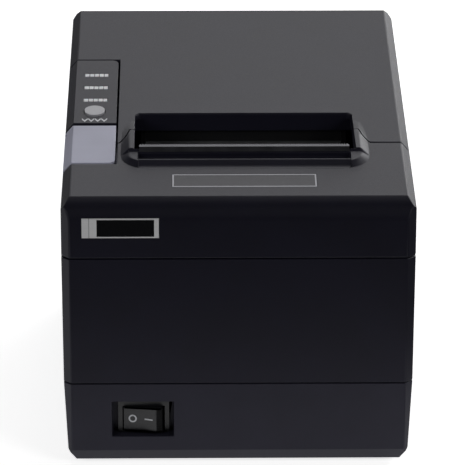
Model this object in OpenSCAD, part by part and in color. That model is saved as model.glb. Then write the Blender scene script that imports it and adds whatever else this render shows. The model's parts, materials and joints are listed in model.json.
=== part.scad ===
// Desktop receipt printer for 80 mm thermal paper rolls, with paper cutter.
// X runs across the printer, the front faces -Y, Z is up and the feet rest on Z = 0.

/* [View] */
// Which sub-part to draw, or all of them

/* [Casing] */
// Width of the casing
body_w = 145; // [130:1:170]
// Depth of the casing, front to rear
body_d = 197; // [185:1:220]
// Height of the flat top where it meets the front bevel
front_top_h = 117.5; // [110:0.5:125]
// Rise of the flat top towards the rear, in degrees
top_slope = 6.5; // [2:0.5:9]
// Wall thickness of the moulded casings
wall = 2.5; // [2:0.1:3]
// Gap at the seams between mouldings
seam = 0.4; // [0.3:0.05:0.6]
// Height of the base, up to the lower seam
base_h = 37.2; // [32:0.2:42]
// Height of the seam under the front cover's skirt
skirt_h = 92.4; // [85:0.2:96]
// Height of the feet below the base
foot_h = 2; // [1:0.5:4]
// Inward taper of each side of the base
base_taper = 1.8; // [0:0.1:3]

/* [Paper path] */
// Width of the slot the receipt comes out of
slot_w = 92.5; // [86:0.5:94]
// Inside width of the paper bucket
bucket_w = 84; // [82:0.5:86]
// Radius of the roll the bucket takes
roll_r = 41; // [38:0.5:41.5]
// Radius of the rubber on the platen roller
platen_r = 7.5; // [6:0.1:8]
// Stroke of the cutter's blade
blade_travel = 8; // [6:0.5:9]

/* [Controls] */
// Turn of the open lever, in degrees
lever_turn = 20; // [10:1:20]
// Travel of the feed button
button_travel = 0.8; // [0.5:0.1:1]
// Turn of the power rocker, in degrees
rocker_turn = 24; // [16:1:24]

/* [Gears] */
// Tooth module of the feed gears
gear_m = 0.8; // [0.8:0.1:0.8]
// Teeth on the platen's gear
platen_teeth = 24; // [24:1:24]
// Teeth on the idler
idler_teeth = 30; // [30:1:30]
// Teeth on the feed motor's pinion
motor_teeth = 12; // [12:1:12]

/* [Hidden] */
$fn = 48;

// colours
c_case = [0.13, 0.13, 0.14];
c_inner = [0.2, 0.2, 0.21];
c_lever = [0.64, 0.64, 0.68];
c_steel = [0.72, 0.73, 0.75];
c_alu = [0.8, 0.8, 0.82];
c_rubber = [0.08, 0.08, 0.08];
c_board = [0.05, 0.32, 0.16];
c_white = [0.9, 0.9, 0.88];
c_gear = [0.92, 0.9, 0.84];

// casing shape
big = 400;
hw = body_w/2;
yf = -body_d/2;
yb = body_d/2;
bevel_d = 6.4;
top_y0 = yf + bevel_d;
rear_bevel = 3.5;
rear_y = yb - rear_bevel;
chamfer_w = 3.5;
chamfer_h = 4;
corner = 3.4;
foot_bevel_h = 5.3;
foot_bevel_w = 3;
foot_bevel_x = 3.3;
side_draft = 0.3;
tan_s = tan(top_slope);
cos_s = cos(top_slope);
function top_z(y) = front_top_h + (y - top_y0)*tan_s;
function along(y) = (y - top_y0)/cos_s;
// points of the front bevel, as steps back from the front face and down from the flat top
bevel = [[6.4, 0], [4.2, 1.3], [2.3, 2.9], [1, 4.8], [0.25, 7], [0, 9]];

// seams
base_top = base_h - seam/2;
main_bottom = base_h + seam/2;
main_front_top = skirt_h - seam/2;
cover_front_bottom = skirt_h + seam/2;
side_seam = front_top_h - 5.7;
main_side_top = side_seam - seam/2;
cover_bottom = side_seam + seam/2;
front_seam = -42.7;
front_cover_y = front_seam - seam/2;
paper_cover_y = front_seam + seam/2;

// control panel and lever strip
strip_x = -hw + 21.8;
strip_gap = 0.8;
panel_x1 = strip_x - seam/2;
cover_x0 = panel_x1 + strip_gap;
panel_y0 = -23.5;
panel_y1 = 40.6;
cover_step_y = panel_y1 + seam;
panel_corner = 3;

// cover hinge
hinge_y = yb - 5;
hinge_z = side_seam - 5.8;
hinge_roll_r = 5;
knuckle_r = 4.4;
knuckle_x = hw - 14.5;
knuckle_w = 10;
knuckle_gap = 0.4;
pin_r = 1.5;
pin_len = 18;
fixed_fit = 0.05;
turn_fit = 0.1;

// mechanism
path_x = 3.2;
platen_y = -16;
platen_z = front_top_h - 15.5;
head_gap = 0.3;
shaft_r = 3;
shaft_gap = 0.35;
rubber_w = 82;
bush_r = 5;
bush_w = 2.4;
cheek_w = 2;
cheek_in = 43.8;
plate_t = 1;
plate_in = 48.9;
lane = 0.5;
gear_w = 3;
gear_x = path_x - plate_in - plate_t - lane - gear_w;
plate_l = path_x - plate_in - plate_t;
plate_r = path_x + plate_in;
idler_dir = 50;
pinion_dir = 242;
platen_pr = gear_m*platen_teeth/2;
idler_pr = gear_m*idler_teeth/2;
motor_pr = gear_m*motor_teeth/2;
idler_y = platen_y - (platen_pr + idler_pr)*cos(idler_dir);
idler_z = platen_z - (platen_pr + idler_pr)*sin(idler_dir);
pinion_y = idler_y + (motor_pr + idler_pr)*cos(pinion_dir);
pinion_z = idler_z + (motor_pr + idler_pr)*sin(pinion_dir);
motor_hole_y = 17.5;
chassis_y0 = -60;
chassis_y1 = -7;
chassis_z0 = platen_z - 50;
chassis_z1 = platen_z + 6;
deck_t = 2;

// latch
latch_y = -14;
latch_z = platen_z - 25;
latch_r = 2;
hook_w = 2;
hook_gap = 0.4;
nose_y = platen_y - shaft_r - shaft_gap;

// cutter
blade_z = platen_z + 8.7;
blade_t = 1;
blade_gap = 0.3;
blade_edge_y = -26;
blade_back_y = -44;
fixed_edge_y = -22;
bed_z = blade_z - 2;
bed_t = 1.5;
rack_m = 1;
cutter_teeth = 12;
cutter_pr = rack_m*cutter_teeth/2;
cutter_x = 24;
cutter_y = -50;
cutter_motor_h = 24.7;

// lever
lever_y0 = -61.4;
lever_y1 = panel_y0 - 1.5;
lever_pivot_y = -28;
lever_depth = 4.63;
lever_pivot_z = top_z(lever_pivot_y) - lever_depth;
lever_arc = sqrt(pow(lever_y0 - lever_pivot_y, 2) + pow(top_z(lever_y0) - lever_pivot_z, 2));
lever_skirt_z = side_seam - 7.8;
lever_skin = 1.8;
lever_pin_r = 1.25;
lever_lug_r = 2.2;
lever_lip = 2.2;
lever_boss_x0 = -hw + 8.9;
lever_boss_x1 = -hw + 12.5;
lever_tail_x = -hw + 16.5;
lever_tail_w = 2.5;
bracket_x0 = -hw + 5.2;
bracket_x1 = -hw + 15;
bracket_y0 = -34;
bracket_y1 = -22;
bracket_z = side_seam - 15.8;

// power switch
pocket_x0 = -52.4;
pocket_x1 = -26.7;
pocket_z0 = 13.55;
pocket_z1 = 29.1;
pocket_depth = 6.9;
switch_x = -39.3;
switch_z = 21.1;
rocker_z = switch_z - 1.35;
bezel_w = 21.2;
bezel_h = 15;
bezel_t = 2;
switch_w = 19;
switch_h = 11.8;
rocker_y = yf + 6.5;
rocker_h = 10.2;
rocker_r = 8.46;

// paper bucket
bucket_y = 40;
bucket_z = front_top_h - 32;
bucket_t = 2;
bucket_top = bucket_z + 18.5;

// boards and sockets
board_z = 10;
board_t = 1.6;
board_x0 = -56;
board_x1 = 57;
board_y0 = 10;
board_y1 = 92;
socket_face_y = yb - 1;
socket_gap = 0.3;
screw_r = 1.5;
screw_head_r = 2.8;

// ---- general shapes ----

// casing outline taken in by i on every face
module form(i) {
  ci = corner - 0.586*i;
  intersection() {
    rotate([90, 0, 0])
      linear_extrude(height = big, center = true)
        front_outline(i);
    rotate([90, 0, 90])
      linear_extrude(height = big, center = true)
        side_outline(i);
    linear_extrude(height = big)
      polygon([[-hw + i, yf + i + ci], [-hw + i + ci, yf + i], [hw - i - ci, yf + i], [hw - i, yf + i + ci],
        [hw - i, yb - i - ci], [hw - i - ci, yb - i], [-hw + i + ci, yb - i], [-hw + i, yb - i - ci]]);
    top_outline(i);
  }
}

module front_outline(i) {
  x1 = hw - i;
  x2 = hw - side_draft - i;
  x3 = hw - base_taper - i;
  x4 = hw - base_taper - foot_bevel_x - 0.4*i;
  z4 = foot_h + i;
  polygon([[x1, big], [x1, skirt_h], [x2, base_h], [x3, foot_h + foot_bevel_h], [x4, z4],
    [-x4, z4], [-x3, foot_h + foot_bevel_h], [-x2, base_h], [-x1, skirt_h], [-x1, big]]);
}

module side_outline(i) {
  z4 = foot_h + i;
  z5 = foot_h + foot_bevel_h;
  front = [for (p = bevel) let (y = yf + i + p[0]*(bevel_d - 0.5*i)/bevel_d)
    [y, top_z(max(y, top_y0)) - i/cos_s + (p[1] > 0 ? -p[1] : 0.01*i)]];
  polygon(concat(front, [[yf + i, z5], [yf + foot_bevel_w + 0.6*i, z4], [yb - foot_bevel_w - 0.6*i, z4],
    [yb - i, z5],
    [yb - i, top_z(rear_y) - rear_bevel - 0.6*i], [rear_y - 0.6*i,
      top_z(rear_y - 0.6*i) - i/cos_s + 0.01*i]]));
}

// flat sloping top with its chamfered side edges
module top_outline(i) {
  w = chamfer_w + 0.1*i;
  translate([0, top_y0, front_top_h])
    rotate([90 + top_slope, 0, 0])
      linear_extrude(height = 2*big, center = true)
        polygon([[-hw + i, -big], [-hw + i, -chamfer_h - 0.5*i], [-hw + w + 0.6*i, -i], [hw - w - 0.6*i, -i],
          [hw - i, -chamfer_h - 0.5*i], [hw - i, -big]]);
}

// box from one corner to the other
module span(x0, x1, y0, y1, z0, z1) {
  translate([x0, y0, z0])
    cube([x1 - x0, y1 - y0, z1 - z0]);
}

// plate lying along X with its outline drawn in Y and Z
module side_plate(x0, x1) {
  translate([x0, 0, 0])
    rotate([90, 0, 90])
      linear_extrude(height = x1 - x0)
        children();
}

// round bar along X
module bar_x(x0, x1, y, z, r) {
  translate([x0, y, z])
    rotate([0, 90, 0])
      cylinder(r = r, h = x1 - x0);
}

// round bar along Y
module bar_y(x, z, y0, y1, r) {
  translate([x, y0, z])
    rotate([-90, 0, 0])
      cylinder(r = r, h = y1 - y0);
}

// places its children on the flat top, their Z standing square to it
module on_top(x, y) {
  translate([x, y, top_z(y)])
    rotate([top_slope, 0, 0])
      children();
}

// pan head screw with a cross recess, head up, shank down from Z = 0
module screw(len) {
  head_h = 2;
  slot_l = 3.2;
  slot_t = 0.8;
  difference() {
    union() {
      cylinder(r = screw_head_r, h = head_h, $fn = 24);
      translate([0, 0, -len])
        cylinder(r = screw_r, h = len + 0.1, $fn = 24);
    }
    translate([-slot_l/2, -slot_t/2, 1])
      cube([slot_l, slot_t, head_h]);
    translate([-slot_t/2, -slot_l/2, 1])
      cube([slot_t, slot_l, head_h]);
  }
}

// spur gear outline with a tooth on the +X axis
module gear_outline(m, z) {
  r = m*z/2;
  foot_r = r - 1.2*m;
  tip_r = r + 0.82*m;
  a0 = 0.3*180/z*2;
  a1 = 0.205*180/z*2;
  a2 = 0.1*180/z*2;
  polygon([for (k = [0:z - 1]) for (p = [[foot_r, -a0], [r, -a1], [tip_r, -a2], [tip_r, a2], [r, a1],
    [foot_r, a0]])
    [p[0]*cos(k*360/z + p[1]), p[0]*sin(k*360/z + p[1])]]);
}

// gear lying across X, turned so that a tooth points along the angle a in Y and Z
module gear_x(m, z, w, a, bore) {
  rotate([90, 0, 90])
    linear_extrude(height = w)
      rotate([0, 0, a])
        difference() {
          gear_outline(m, z);
          circle(r = bore);
        }
}

// coil spring standing on Z = 0
module coil(r, wire, len, turns) {
  linear_extrude(height = len, twist = -360*turns, slices = 12*turns, $fn = 8)
    translate([r, 0])
      circle(r = wire, $fn = 8);
}

// ---- casing ----

module base_housing() {
  color(c_case) {
    difference() {
      intersection() {
        form(0);
        span(-hw, hw, yf, yb, 0, base_top);
      }
      difference() {
        form(wall);
        // walls of the switch pocket
        span(pocket_x0 - 2, pocket_x1 + 2, yf, yf + pocket_depth + 2, pocket_z0 - 2, pocket_z1 + 2);
        base_posts();
      }
      // switch pocket and the hole for the switch's body
      span(pocket_x0, pocket_x1, yf - 1, yf + pocket_depth, pocket_z0, pocket_z1);
      span(switch_x - switch_w/2 - 0.2, switch_x + switch_w/2 + 0.2, yf, yf + 20,
        rocker_z - switch_h/2 - 0.2, rocker_z + switch_h/2 + 0.2);
      // openings for the sockets
      for (s = sockets) {
        span(s[0] - s[1]/2 - socket_gap, s[0] + s[1]/2 + socket_gap, yb - 2*wall, yb + 1,
          board_z + board_t - socket_gap, board_z + board_t + s[2] + socket_gap);
      }
      // screw passages from below
      for (p = base_screw_xy) {
        translate([p[0], p[1], -1])
          cylinder(r = screw_r + 0.2, h = base_h + 2);
        translate([p[0], p[1], -1])
          cylinder(r = screw_head_r + 0.4, h = base_screw_z + 1);
      }
      // recesses for the feet
      for (p = foot_xy) {
        translate([p[0], p[1], 0])
          cylinder(r = foot_r + 0.1, h = foot_h + 1);
      }
      // cooling slots in the floor
      for (k = [0:5]) {
        span(-24 + 9*k, -21 + 9*k, -40, -10, 0, foot_h + 2*wall);
      }
      for (p = board_screw_xy) {
        translate([p[0], p[1], foot_h + wall - 1])
          cylinder(r = screw_r + fixed_fit, h = board_z);
      }
    }
  }
}

foot_r = 7;
foot_xy = [[-hw + 18.5, -80], [hw - 18.5, -80], [-hw + 18.5, 80], [hw - 18.5, 80]];
base_screw_xy = [[-hw + 12.5, -60], [hw - 12.5, -60], [-hw + 10, 60], [hw - 10, 60]];
base_screw_len = 16;
base_screw_z = base_h - 9.2;
board_screw_xy = [[-51, 16], [52, 16], [-51, 70], [50, 70]];
// centre across, width and height of each rear socket: serial, network, USB, drawer, power
sockets = [[-38, 31, 12.5], [-9, 16, 13.5], [11, 12, 11], [30, 13, 11.5], [49, 12, 11]];

module base_posts() {
  for (p = base_screw_xy) {
    translate([p[0], p[1], 0])
      cylinder(r = 4.6, h = base_top);
  }
  for (p = board_screw_xy) {
    translate([p[0], p[1], 0])
      cylinder(r = 3, h = board_z);
  }
}

module rubber_feet() {
  color(c_rubber)
    for (p = foot_xy) {
      translate([p[0], p[1], 0]) {
        cylinder(r1 = foot_r - 1, r2 = foot_r, h = 1);
        translate([0, 0, 1])
          cylinder(r = foot_r, h = foot_h);
      }
    }
}

module base_screws() {
  color(c_steel)
    for (p = base_screw_xy) {
      translate([p[0], p[1], base_screw_z])
        rotate([180, 0, 0])
          screw(base_screw_len);
    }
}

// lever, as the room it needs in the casing around it when grown by g
module lever_room(g) {
  side_plate(-hw - 1, panel_x1 + g)
    difference() {
      intersection() {
        translate([lever_pivot_y, lever_pivot_z])
          circle(r = lever_arc + g, $fn = 96);
        translate([lever_y0 - 3, lever_skirt_z - g])
          square([lever_y1 - lever_y0 + 3 + g, 40]);
      }
    }
}

module main_housing() {
  color(c_case)
    difference() {
      union() {
        difference() {
          intersection() {
            form(0);
            union() {
              span(-hw, hw, yf, yb, main_bottom, main_front_top);
              span(-hw, hw, paper_cover_y, yb, main_bottom, main_side_top);
            }
          }
          form(wall);
        }
        // tongue inside the base's rim
        difference() {
          intersection() {
            form(wall + 0.2);
            span(-hw, hw, yf, yb, base_top - 3, main_bottom + 4);
          }
          form(wall + 1.7);
        }
        // deck that carries the mechanism
        intersection() {
          form(wall - 0.1);
          span(-hw, hw, -66, -8, chassis_z0 - deck_t, chassis_z0);
        }
        // hinge roll along the rear edge
        intersection() {
          bar_x(-hw, hw, hinge_y, hinge_z, hinge_roll_r);
          form(0);
        }
        main_posts();
        panel_walls();
      }
      // above the hinge only the roll is left
      difference() {
        span(-hw - 1, hw + 1, hinge_y - 0.5, yb + 1, hinge_z, big);
        bar_x(-hw - 1, hw + 1, hinge_y, hinge_z, hinge_roll_r);
      }
      // knuckle gaps
      for (s = [-1, 1]) {
        span(s*knuckle_x - knuckle_w/2 - knuckle_gap, s*knuckle_x + knuckle_w/2 + knuckle_gap,
          hinge_y - 6, yb + 1, hinge_z - 5.5, hinge_z + 7);
        bar_x(s*knuckle_x - pin_len/2, s*knuckle_x + pin_len/2, hinge_y, hinge_z, pin_r + fixed_fit);
      }
      // room for the lever
      lever_room(seam);
      for (p = base_screw_xy) {
        translate([p[0], p[1], main_bottom - 4])
          cylinder(r = screw_r + fixed_fit, h = 14);
      }
      for (p = bucket_screw_xy) {
        translate([p[0], p[1], ear_z - 8])
          cylinder(r = screw_r + fixed_fit, h = 12);
      }
      for (p = chassis_screw_xy) {
        translate([p[0], p[1], chassis_z0 - 6])
          cylinder(r = screw_r + fixed_fit, h = 8);
      }
    }
}

module main_posts() {
  intersection() {
    form(wall - 0.1);
    union() {
      // brackets under the bucket's ears and under the lever's bracket
      for (p = bucket_screw_xy) {
        px = p[0] > 0 ? p[0] - 4 : -hw;
        span(px, px + hw - abs(p[0]) + 4, p[1] - 4, p[1] + 4, ear_z - 10, ear_z);
      }
      span(-hw, bracket_x1, bracket_y0, bracket_y1, bracket_z - 4, bracket_z);
      for (p = base_screw_xy) {
        translate([p[0], p[1], main_bottom])
          cylinder(r = 4.6, h = 14);
        px = p[0] > 0 ? p[0] : -hw;
        span(px, px + hw - abs(p[0]), p[1] - 1.5, p[1] + 1.5, main_bottom + 4, main_bottom + 14);
      }
    }
  }
}

// walls under the control panel that it is clipped to
module panel_walls() {
  intersection() {
    form(wall - 0.1);
    span(-hw, panel_x1 - 1, panel_y1 - 4, panel_y1 - 2, main_side_top - 12, main_side_top + 4);
  }
}

module panel_plan(g) {
  difference() {
    span(-hw - 1, panel_x1 + g, panel_y0 - g, panel_y1 + g, side_seam + seam/2 - g, big);
    // rounded rear corner
    difference() {
      span(panel_x1 - panel_corner, panel_x1 + 1, panel_y1 - panel_corner, panel_y1 + 1, 0, big);
      translate([panel_x1 - panel_corner, panel_y1 - panel_corner, 0])
        cylinder(r = panel_corner + g, h = big);
    }
  }
}

button_x = -hw + 12.2;
button_y = -12;
button_r = 4.3;
button_long = 0.45;
button_proud = 0.7;
window_y = [25, 12.2, -0.4];
window_w = 10.4;
window_h = 2.8;

module button_outline(g) {
  translate([0, -button_long])
    circle(r = button_r + g);
  translate([0, button_long])
    circle(r = button_r + g);
  translate([-button_r - g, -button_long])
    square([2*(button_r + g), 2*button_long]);
}

module control_panel() {
  color(c_case)
    difference() {
      union() {
        difference() {
          intersection() {
            form(0);
            panel_plan(0);
          }
          form(wall);
        }
        // posts that carry the panel's board
        for (y = panel_post_y) {
          for (s = [-1, 1]) {
            on_top(button_x + s*panel_post_x, y)
              translate([0, 0, -panel_board_d + 0.02])
                cylinder(r = 1.3, h = panel_board_d - wall + 0.2);
          }
        }
      }
      // button hole and window holes
      on_top(button_x, button_y)
        translate([0, 0, -6])
          linear_extrude(height = 10)
            button_outline(0.3);
      for (y = window_y) {
        on_top(button_x, y)
          translate([-window_w/2, -window_h/2, -6])
            cube([window_w, window_h, 10]);
      }
    }
}

module status_windows() {
  color(c_white)
    for (y = window_y) {
      on_top(button_x, y) {
        translate([-window_w/2 + 0.05, -window_h/2 + 0.05, -wall - 1.5])
          cube([window_w - 0.1, window_h - 0.1, wall + 1.5]);
        translate([-window_w/2 - 1, -window_h/2 - 0.8, -wall - 1.5])
          cube([window_w + 2, window_h + 1.6, 1.4]);
      }
    }
}

panel_board_d = 8.5;
panel_board_w = 17;
panel_board_l = 56;
panel_post_x = 6.6;
panel_post_y = [5.9, 31.5];

module panel_board() {
  color(c_board)
    on_top(button_x, 10)
      translate([-panel_board_w/2, -panel_board_l/2, -panel_board_d - board_t])
        cube([panel_board_w, panel_board_l, board_t]);
}

module panel_parts() {
  on_top(button_x, button_y) {
    color(c_rubber)
      translate([-3, -3, -panel_board_d])
        cube([6, 6, 2.4]);
    color(c_steel)
      translate([0, 0, -panel_board_d + 2.4])
        cylinder(r = 1.5, h = 0.5);
  }
  color(c_white)
    for (y = window_y) {
      on_top(button_x, y)
        translate([-1.6, -0.8, -panel_board_d])
          cube([3.2, 1.6, 1.2]);
    }
  color(c_white)
    on_top(button_x, 33)
      translate([-5, -2.5, -panel_board_d])
        cube([10, 4, 3.5]);
}

module feed_button() {
  flange = 0.9;
  stem_bottom = -panel_board_d + 2.9 + 0.3 + button_travel;
  color(c_lever)
    on_top(button_x, button_y) {
      translate([0, 0, -wall - 0.4])
        linear_extrude(height = wall + 0.4 + button_proud)
          button_outline(0);
      translate([0, 0, -wall - 0.4 - flange])
        linear_extrude(height = flange)
          button_outline(1.2);
      translate([0, 0, stem_bottom])
        cylinder(r = 1.6, h = -wall - 0.4 - flange - stem_bottom + 0.1);
    }
}

// ---- lever and latch ----

module open_lever() {
  corner_r = 3;
  color(c_lever)
    difference() {
      union() {
        difference() {
          intersection() {
            form(0);
            lever_block();
          }
          intersection() {
            form(lever_skin);
            side_plate(-hw, panel_x1 - lever_skin)
              intersection() {
                translate([lever_pivot_y, lever_pivot_z])
                  circle(r = lever_arc - lever_skin, $fn = 96);
                // open at the rear, under a short lip
                polygon([[lever_y0 - 3, 0], [lever_y1 + 1, 0], [lever_y1 + 1, top_z(lever_y1) - lever_lip],
                  [lever_y1 - 1, top_z(lever_y1) - lever_lip], [lever_y1 - 1, big], [lever_y0 - 3, big]]);
              }
          }
        }
        // boss round the pin and the tail that works the latch
        side_plate(lever_boss_x0, lever_boss_x1)
          translate([lever_pivot_y, lever_pivot_z])
            circle(r = 3);
        side_plate(lever_boss_x0, lever_boss_x1)
          translate([lever_pivot_y - 3, lever_pivot_z])
            square([6, lever_depth - 1]);
        side_plate(lever_tail_x, lever_tail_x + lever_tail_w)
          translate([lever_pivot_y, lever_pivot_z])
            polygon([[0, -2.2], [-1, 2.7], [2, 2.7], [3.5, 2.2], [9.2, -1.7], [9.2, -17.2], [6.6, -17.2],
              [6.6, -3.7]]);
        side_plate(lever_boss_x1 - 0.5, lever_tail_x + lever_tail_w)
          translate([lever_pivot_y, lever_pivot_z])
            polygon([[-1.5, 2.55], [2, 2.55], [2, 3.1], [-1.5, 3]]);
      }
      bar_x(-hw, hw, lever_pivot_y, lever_pivot_z, lever_pin_r + turn_fit);
      // rounded front corner
      difference() {
        span(panel_x1 - corner_r, panel_x1 + 1, lever_y0 - 3, lever_y0 + corner_r, 0, big);
        translate([panel_x1 - corner_r, lever_y0 + corner_r, 0])
          cylinder(r = corner_r, h = big);
      }
    }
}
module lever_block() {
  side_plate(-hw, panel_x1)
    intersection() {
      translate([lever_pivot_y, lever_pivot_z])
        circle(r = lever_arc, $fn = 96);
      polygon([[lever_y0 - 3, lever_skirt_z], [lever_y1, lever_skirt_z], [lever_y1, top_z(lever_y1) - 1],
        [lever_y1 - 0.35, top_z(lever_y1) - 0.35], [lever_y1 - 1.2, top_z(lever_y1) + 0.1],
        [lever_y1 - 1.2, big], [lever_y0 - 3, big]]);
    }
}

// bent bracket whose two lugs carry the lever's pin
module lever_bracket() {
  lug_t = 2;
  color(c_steel)
    difference() {
      union() {
        span(bracket_x0, bracket_x1, bracket_y0, bracket_y1, bracket_z, bracket_z + 1.5);
        for (x = [bracket_x0, bracket_x1 - lug_t]) {
          side_plate(x, x + lug_t) {
            translate([lever_pivot_y, lever_pivot_z])
              circle(r = lever_lug_r);
            polygon([[bracket_y0, bracket_z], [bracket_y1, bracket_z], [bracket_y1 - 2, bracket_z + 8],
              [lever_pivot_y + 2.1, lever_pivot_z], [lever_pivot_y - 2.1, lever_pivot_z],
                [bracket_y0 + 2, bracket_z + 8]]);
          }
        }
      }
      bar_x(-hw, 0, lever_pivot_y, lever_pivot_z, lever_pin_r + fixed_fit);
    }
}

module lever_pin() {
  color(c_steel)
    bar_x(bracket_x0, bracket_x1, lever_pivot_y, lever_pivot_z, lever_pin_r);
}

module lever_spring() {
  color(c_steel)
    translate([bracket_x0 + 2.2, lever_pivot_y, lever_pivot_z])
      rotate([0, 90, 0])
        coil(1.85, 0.3, 1.2, 2);
}

module latch() {
  color(c_steel)
    difference() {
      union() {
        bar_x(lever_tail_x - 1, plate_r - hook_gap, latch_y, latch_z, latch_r);
        for (x = [plate_l + plate_t + hook_gap, plate_r - hook_gap - hook_w]) {
          side_plate(x, x + hook_w)
            hook_outline();
        }
        side_plate(lever_tail_x, lever_tail_x + lever_tail_w)
          translate([latch_y, latch_z]) {
            circle(r = 4);
            polygon([[-4, 0], [-11.2, 19], [-11.2, 27.5], [-8.2, 27.5], [-8.2, 19], [4, 0]]);
          }
      }
    }
}

module hook_outline() {
  nose_z = platen_z + shaft_r + shaft_gap;
  translate([latch_y, latch_z])
    circle(r = 4);
  polygon([[latch_y - 4, latch_z], [latch_y - 11.5, latch_z + 17], [latch_y - 11.5, nose_z + 4],
    [latch_y - 8.5, nose_z + 4.5], [nose_y, nose_z + 1.5], [nose_y, nose_z], [latch_y - 7.5, nose_z],
    [latch_y - 7.5, latch_z + 19], [latch_y + 4, latch_z]]);
}

module latch_spring() {
  color(c_steel)
    translate([plate_l + plate_t + hook_gap + hook_w + 1, latch_y, latch_z])
      rotate([0, 90, 0])
        coil(3, 0.35, 6, 5);
}

// ---- covers ----

scoop_x0 = -48.6;
scoop_x1 = 55.1;
slot_x0 = path_x - slot_w/2;
slot_x1 = path_x + slot_w/2;
slot_y0 = -36.2;
slot_y1 = -14.1;
finger_y = -32.1;

// middle of the front cover that reaches back between the paper cover's corners, grown by g
module tongue(g) {
  linear_extrude(height = big)
    polygon([[scoop_x0 - 0.6 - g, front_cover_y - 1], [scoop_x0 - 0.6 - g, front_cover_y + g],
      [scoop_x0 + 2.4 - g, finger_y - 5.4 + g], [scoop_x0 + 3.8 - g, finger_y + g],
      [scoop_x1 - 3.8 + g, finger_y + g], [scoop_x1 - 2.4 + g, finger_y - 5.4 + g],
      [scoop_x1 + 0.6 + g, front_cover_y + g], [scoop_x1 + 0.6 + g, front_cover_y - 1]]);
}

// raised collar round the slot: inset from its foot and share of its height, level by level
collar_levels = [[-1.2, 0], [0.2, 0.12], [1.6, 0.42], [2.8, 0.76], [3.5, 0.93], [4.2, 1]];
collar_y0 = -67.5;
collar_y1 = -17;
collar_front_r = 12;
collar_rear_r = 3.4;
collar_steps = 6;
collar_root = 1.6;
collar_sunk = 0.25;
// height of the collar's rim above the flat top, from the rear forwards
collar_h = [[-17, -0.2], [-21.5, 0], [-30.4, 0.95], [-54.2, 3.3], [-55.3, 2.05], [-58, 2.15], [-64, 2.3]];
collar_side_y = [-55.3, -54.2, -46, -38, -30.4, -24];
function rim_h(y) = lookup(-y, [for (c = collar_h) [-c[0], c[1]]]);

// outline of the collar at one inset, as points along the flat top
function collar_ring(i) = let (rf = collar_front_r - 1.7*i, rr = collar_rear_r, x0 = scoop_x0 + i,
  x1 = scoop_x1 - i,
  y0 = along(collar_y0 + (i < 0 ? 2.5*i : i)), y1 = along(collar_y1) - max(i, 0)*0.3)
  concat([for (k = [0:collar_steps]) let (a = 180 + 90*k/collar_steps) [x0 + rf + rf*cos(a),
    y0 + rf + rf*sin(a)]],
    [for (k = [0:collar_steps]) let (a = 270 + 90*k/collar_steps) [x1 - rf + rf*cos(a), y0 + rf + rf*sin(a)]],
    [for (y = collar_side_y) [x1, along(y)]],
    [for (k = [0:collar_steps]) let (a = 90*k/collar_steps) [x1 - rr + rr*cos(a), y1 - rr + rr*sin(a)]],
    [for (k = [0:collar_steps]) let (a = 90 + 90*k/collar_steps) [x0 + rr + rr*cos(a), y1 - rr + rr*sin(a)]],
    [for (k = [len(collar_side_y) - 1:-1:0]) [x0, along(collar_side_y[k])]]);

// one level of the collar, standing at the share f of the rim's height
function collar_level(i, f) = [for (p = collar_ring(i))
  [p[0], p[1], f*(rim_h(top_y0 + p[1]*cos_s) + collar_sunk) - collar_sunk]];

module collar() {
  n = len(collar_levels);
  mid = len(collar_side_y);
  h = collar_steps + 1;
  m = 4*h + 2*mid;
  foot = [for (p = collar_ring(collar_levels[0][0])) [p[0], p[1], -collar_root]];
  points = concat(foot, [for (l = collar_levels) for (p = collar_level(l[0], l[1])) p]);
  sides = [for (i = [0:n - 1]) for (j = [0:m - 1]) for (t = [0:1])
    t == 0 ? [i*m + j, (i + 1)*m + (j + 1)%m, i*m + (j + 1)%m] : [i*m + j, (i + 1)*m + j,
      (i + 1)*m + (j + 1)%m]];
  // strips that run straight across close the rim and the underside
  left = concat([for (k = [h - 1:-1:0]) k], [for (k = [m - 1:-1:m - mid]) k],
    [for (k = [m - mid - 1:-1:m - mid - h]) k]);
  right = [for (k = [h:2*h + mid + h - 1]) k];
  rim = [for (k = [0:len(left) - 2]) [n*m + left[k], n*m + left[k + 1], n*m + right[k + 1], n*m + right[k]]];
  floor_strips = [for (k = [0:len(left) - 2]) [right[k], right[k + 1], left[k + 1], left[k]]];
  translate([0, top_y0, front_top_h])
    rotate([top_slope, 0, 0])
      polyhedron(points = points, faces = concat(floor_strips, sides, rim));
}

// front edge of the slot's mouth and the floor that slopes down from it to the paper
mouth_y0 = -54.8;
apron_top = top_z(mouth_y0) + 1.6;
apron_low = top_z(slot_y0) - 7.3;
apron_z0 = blade_z + 3.6;

module thick_top(depth) {
  intersection() {
    form(wall - 0.1);
    translate([0, top_y0, front_top_h])
      rotate([top_slope, 0, 0])
        translate([-hw, -20, -depth])
          cube([body_w, body_d + 40, depth]);
  }
}

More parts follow.
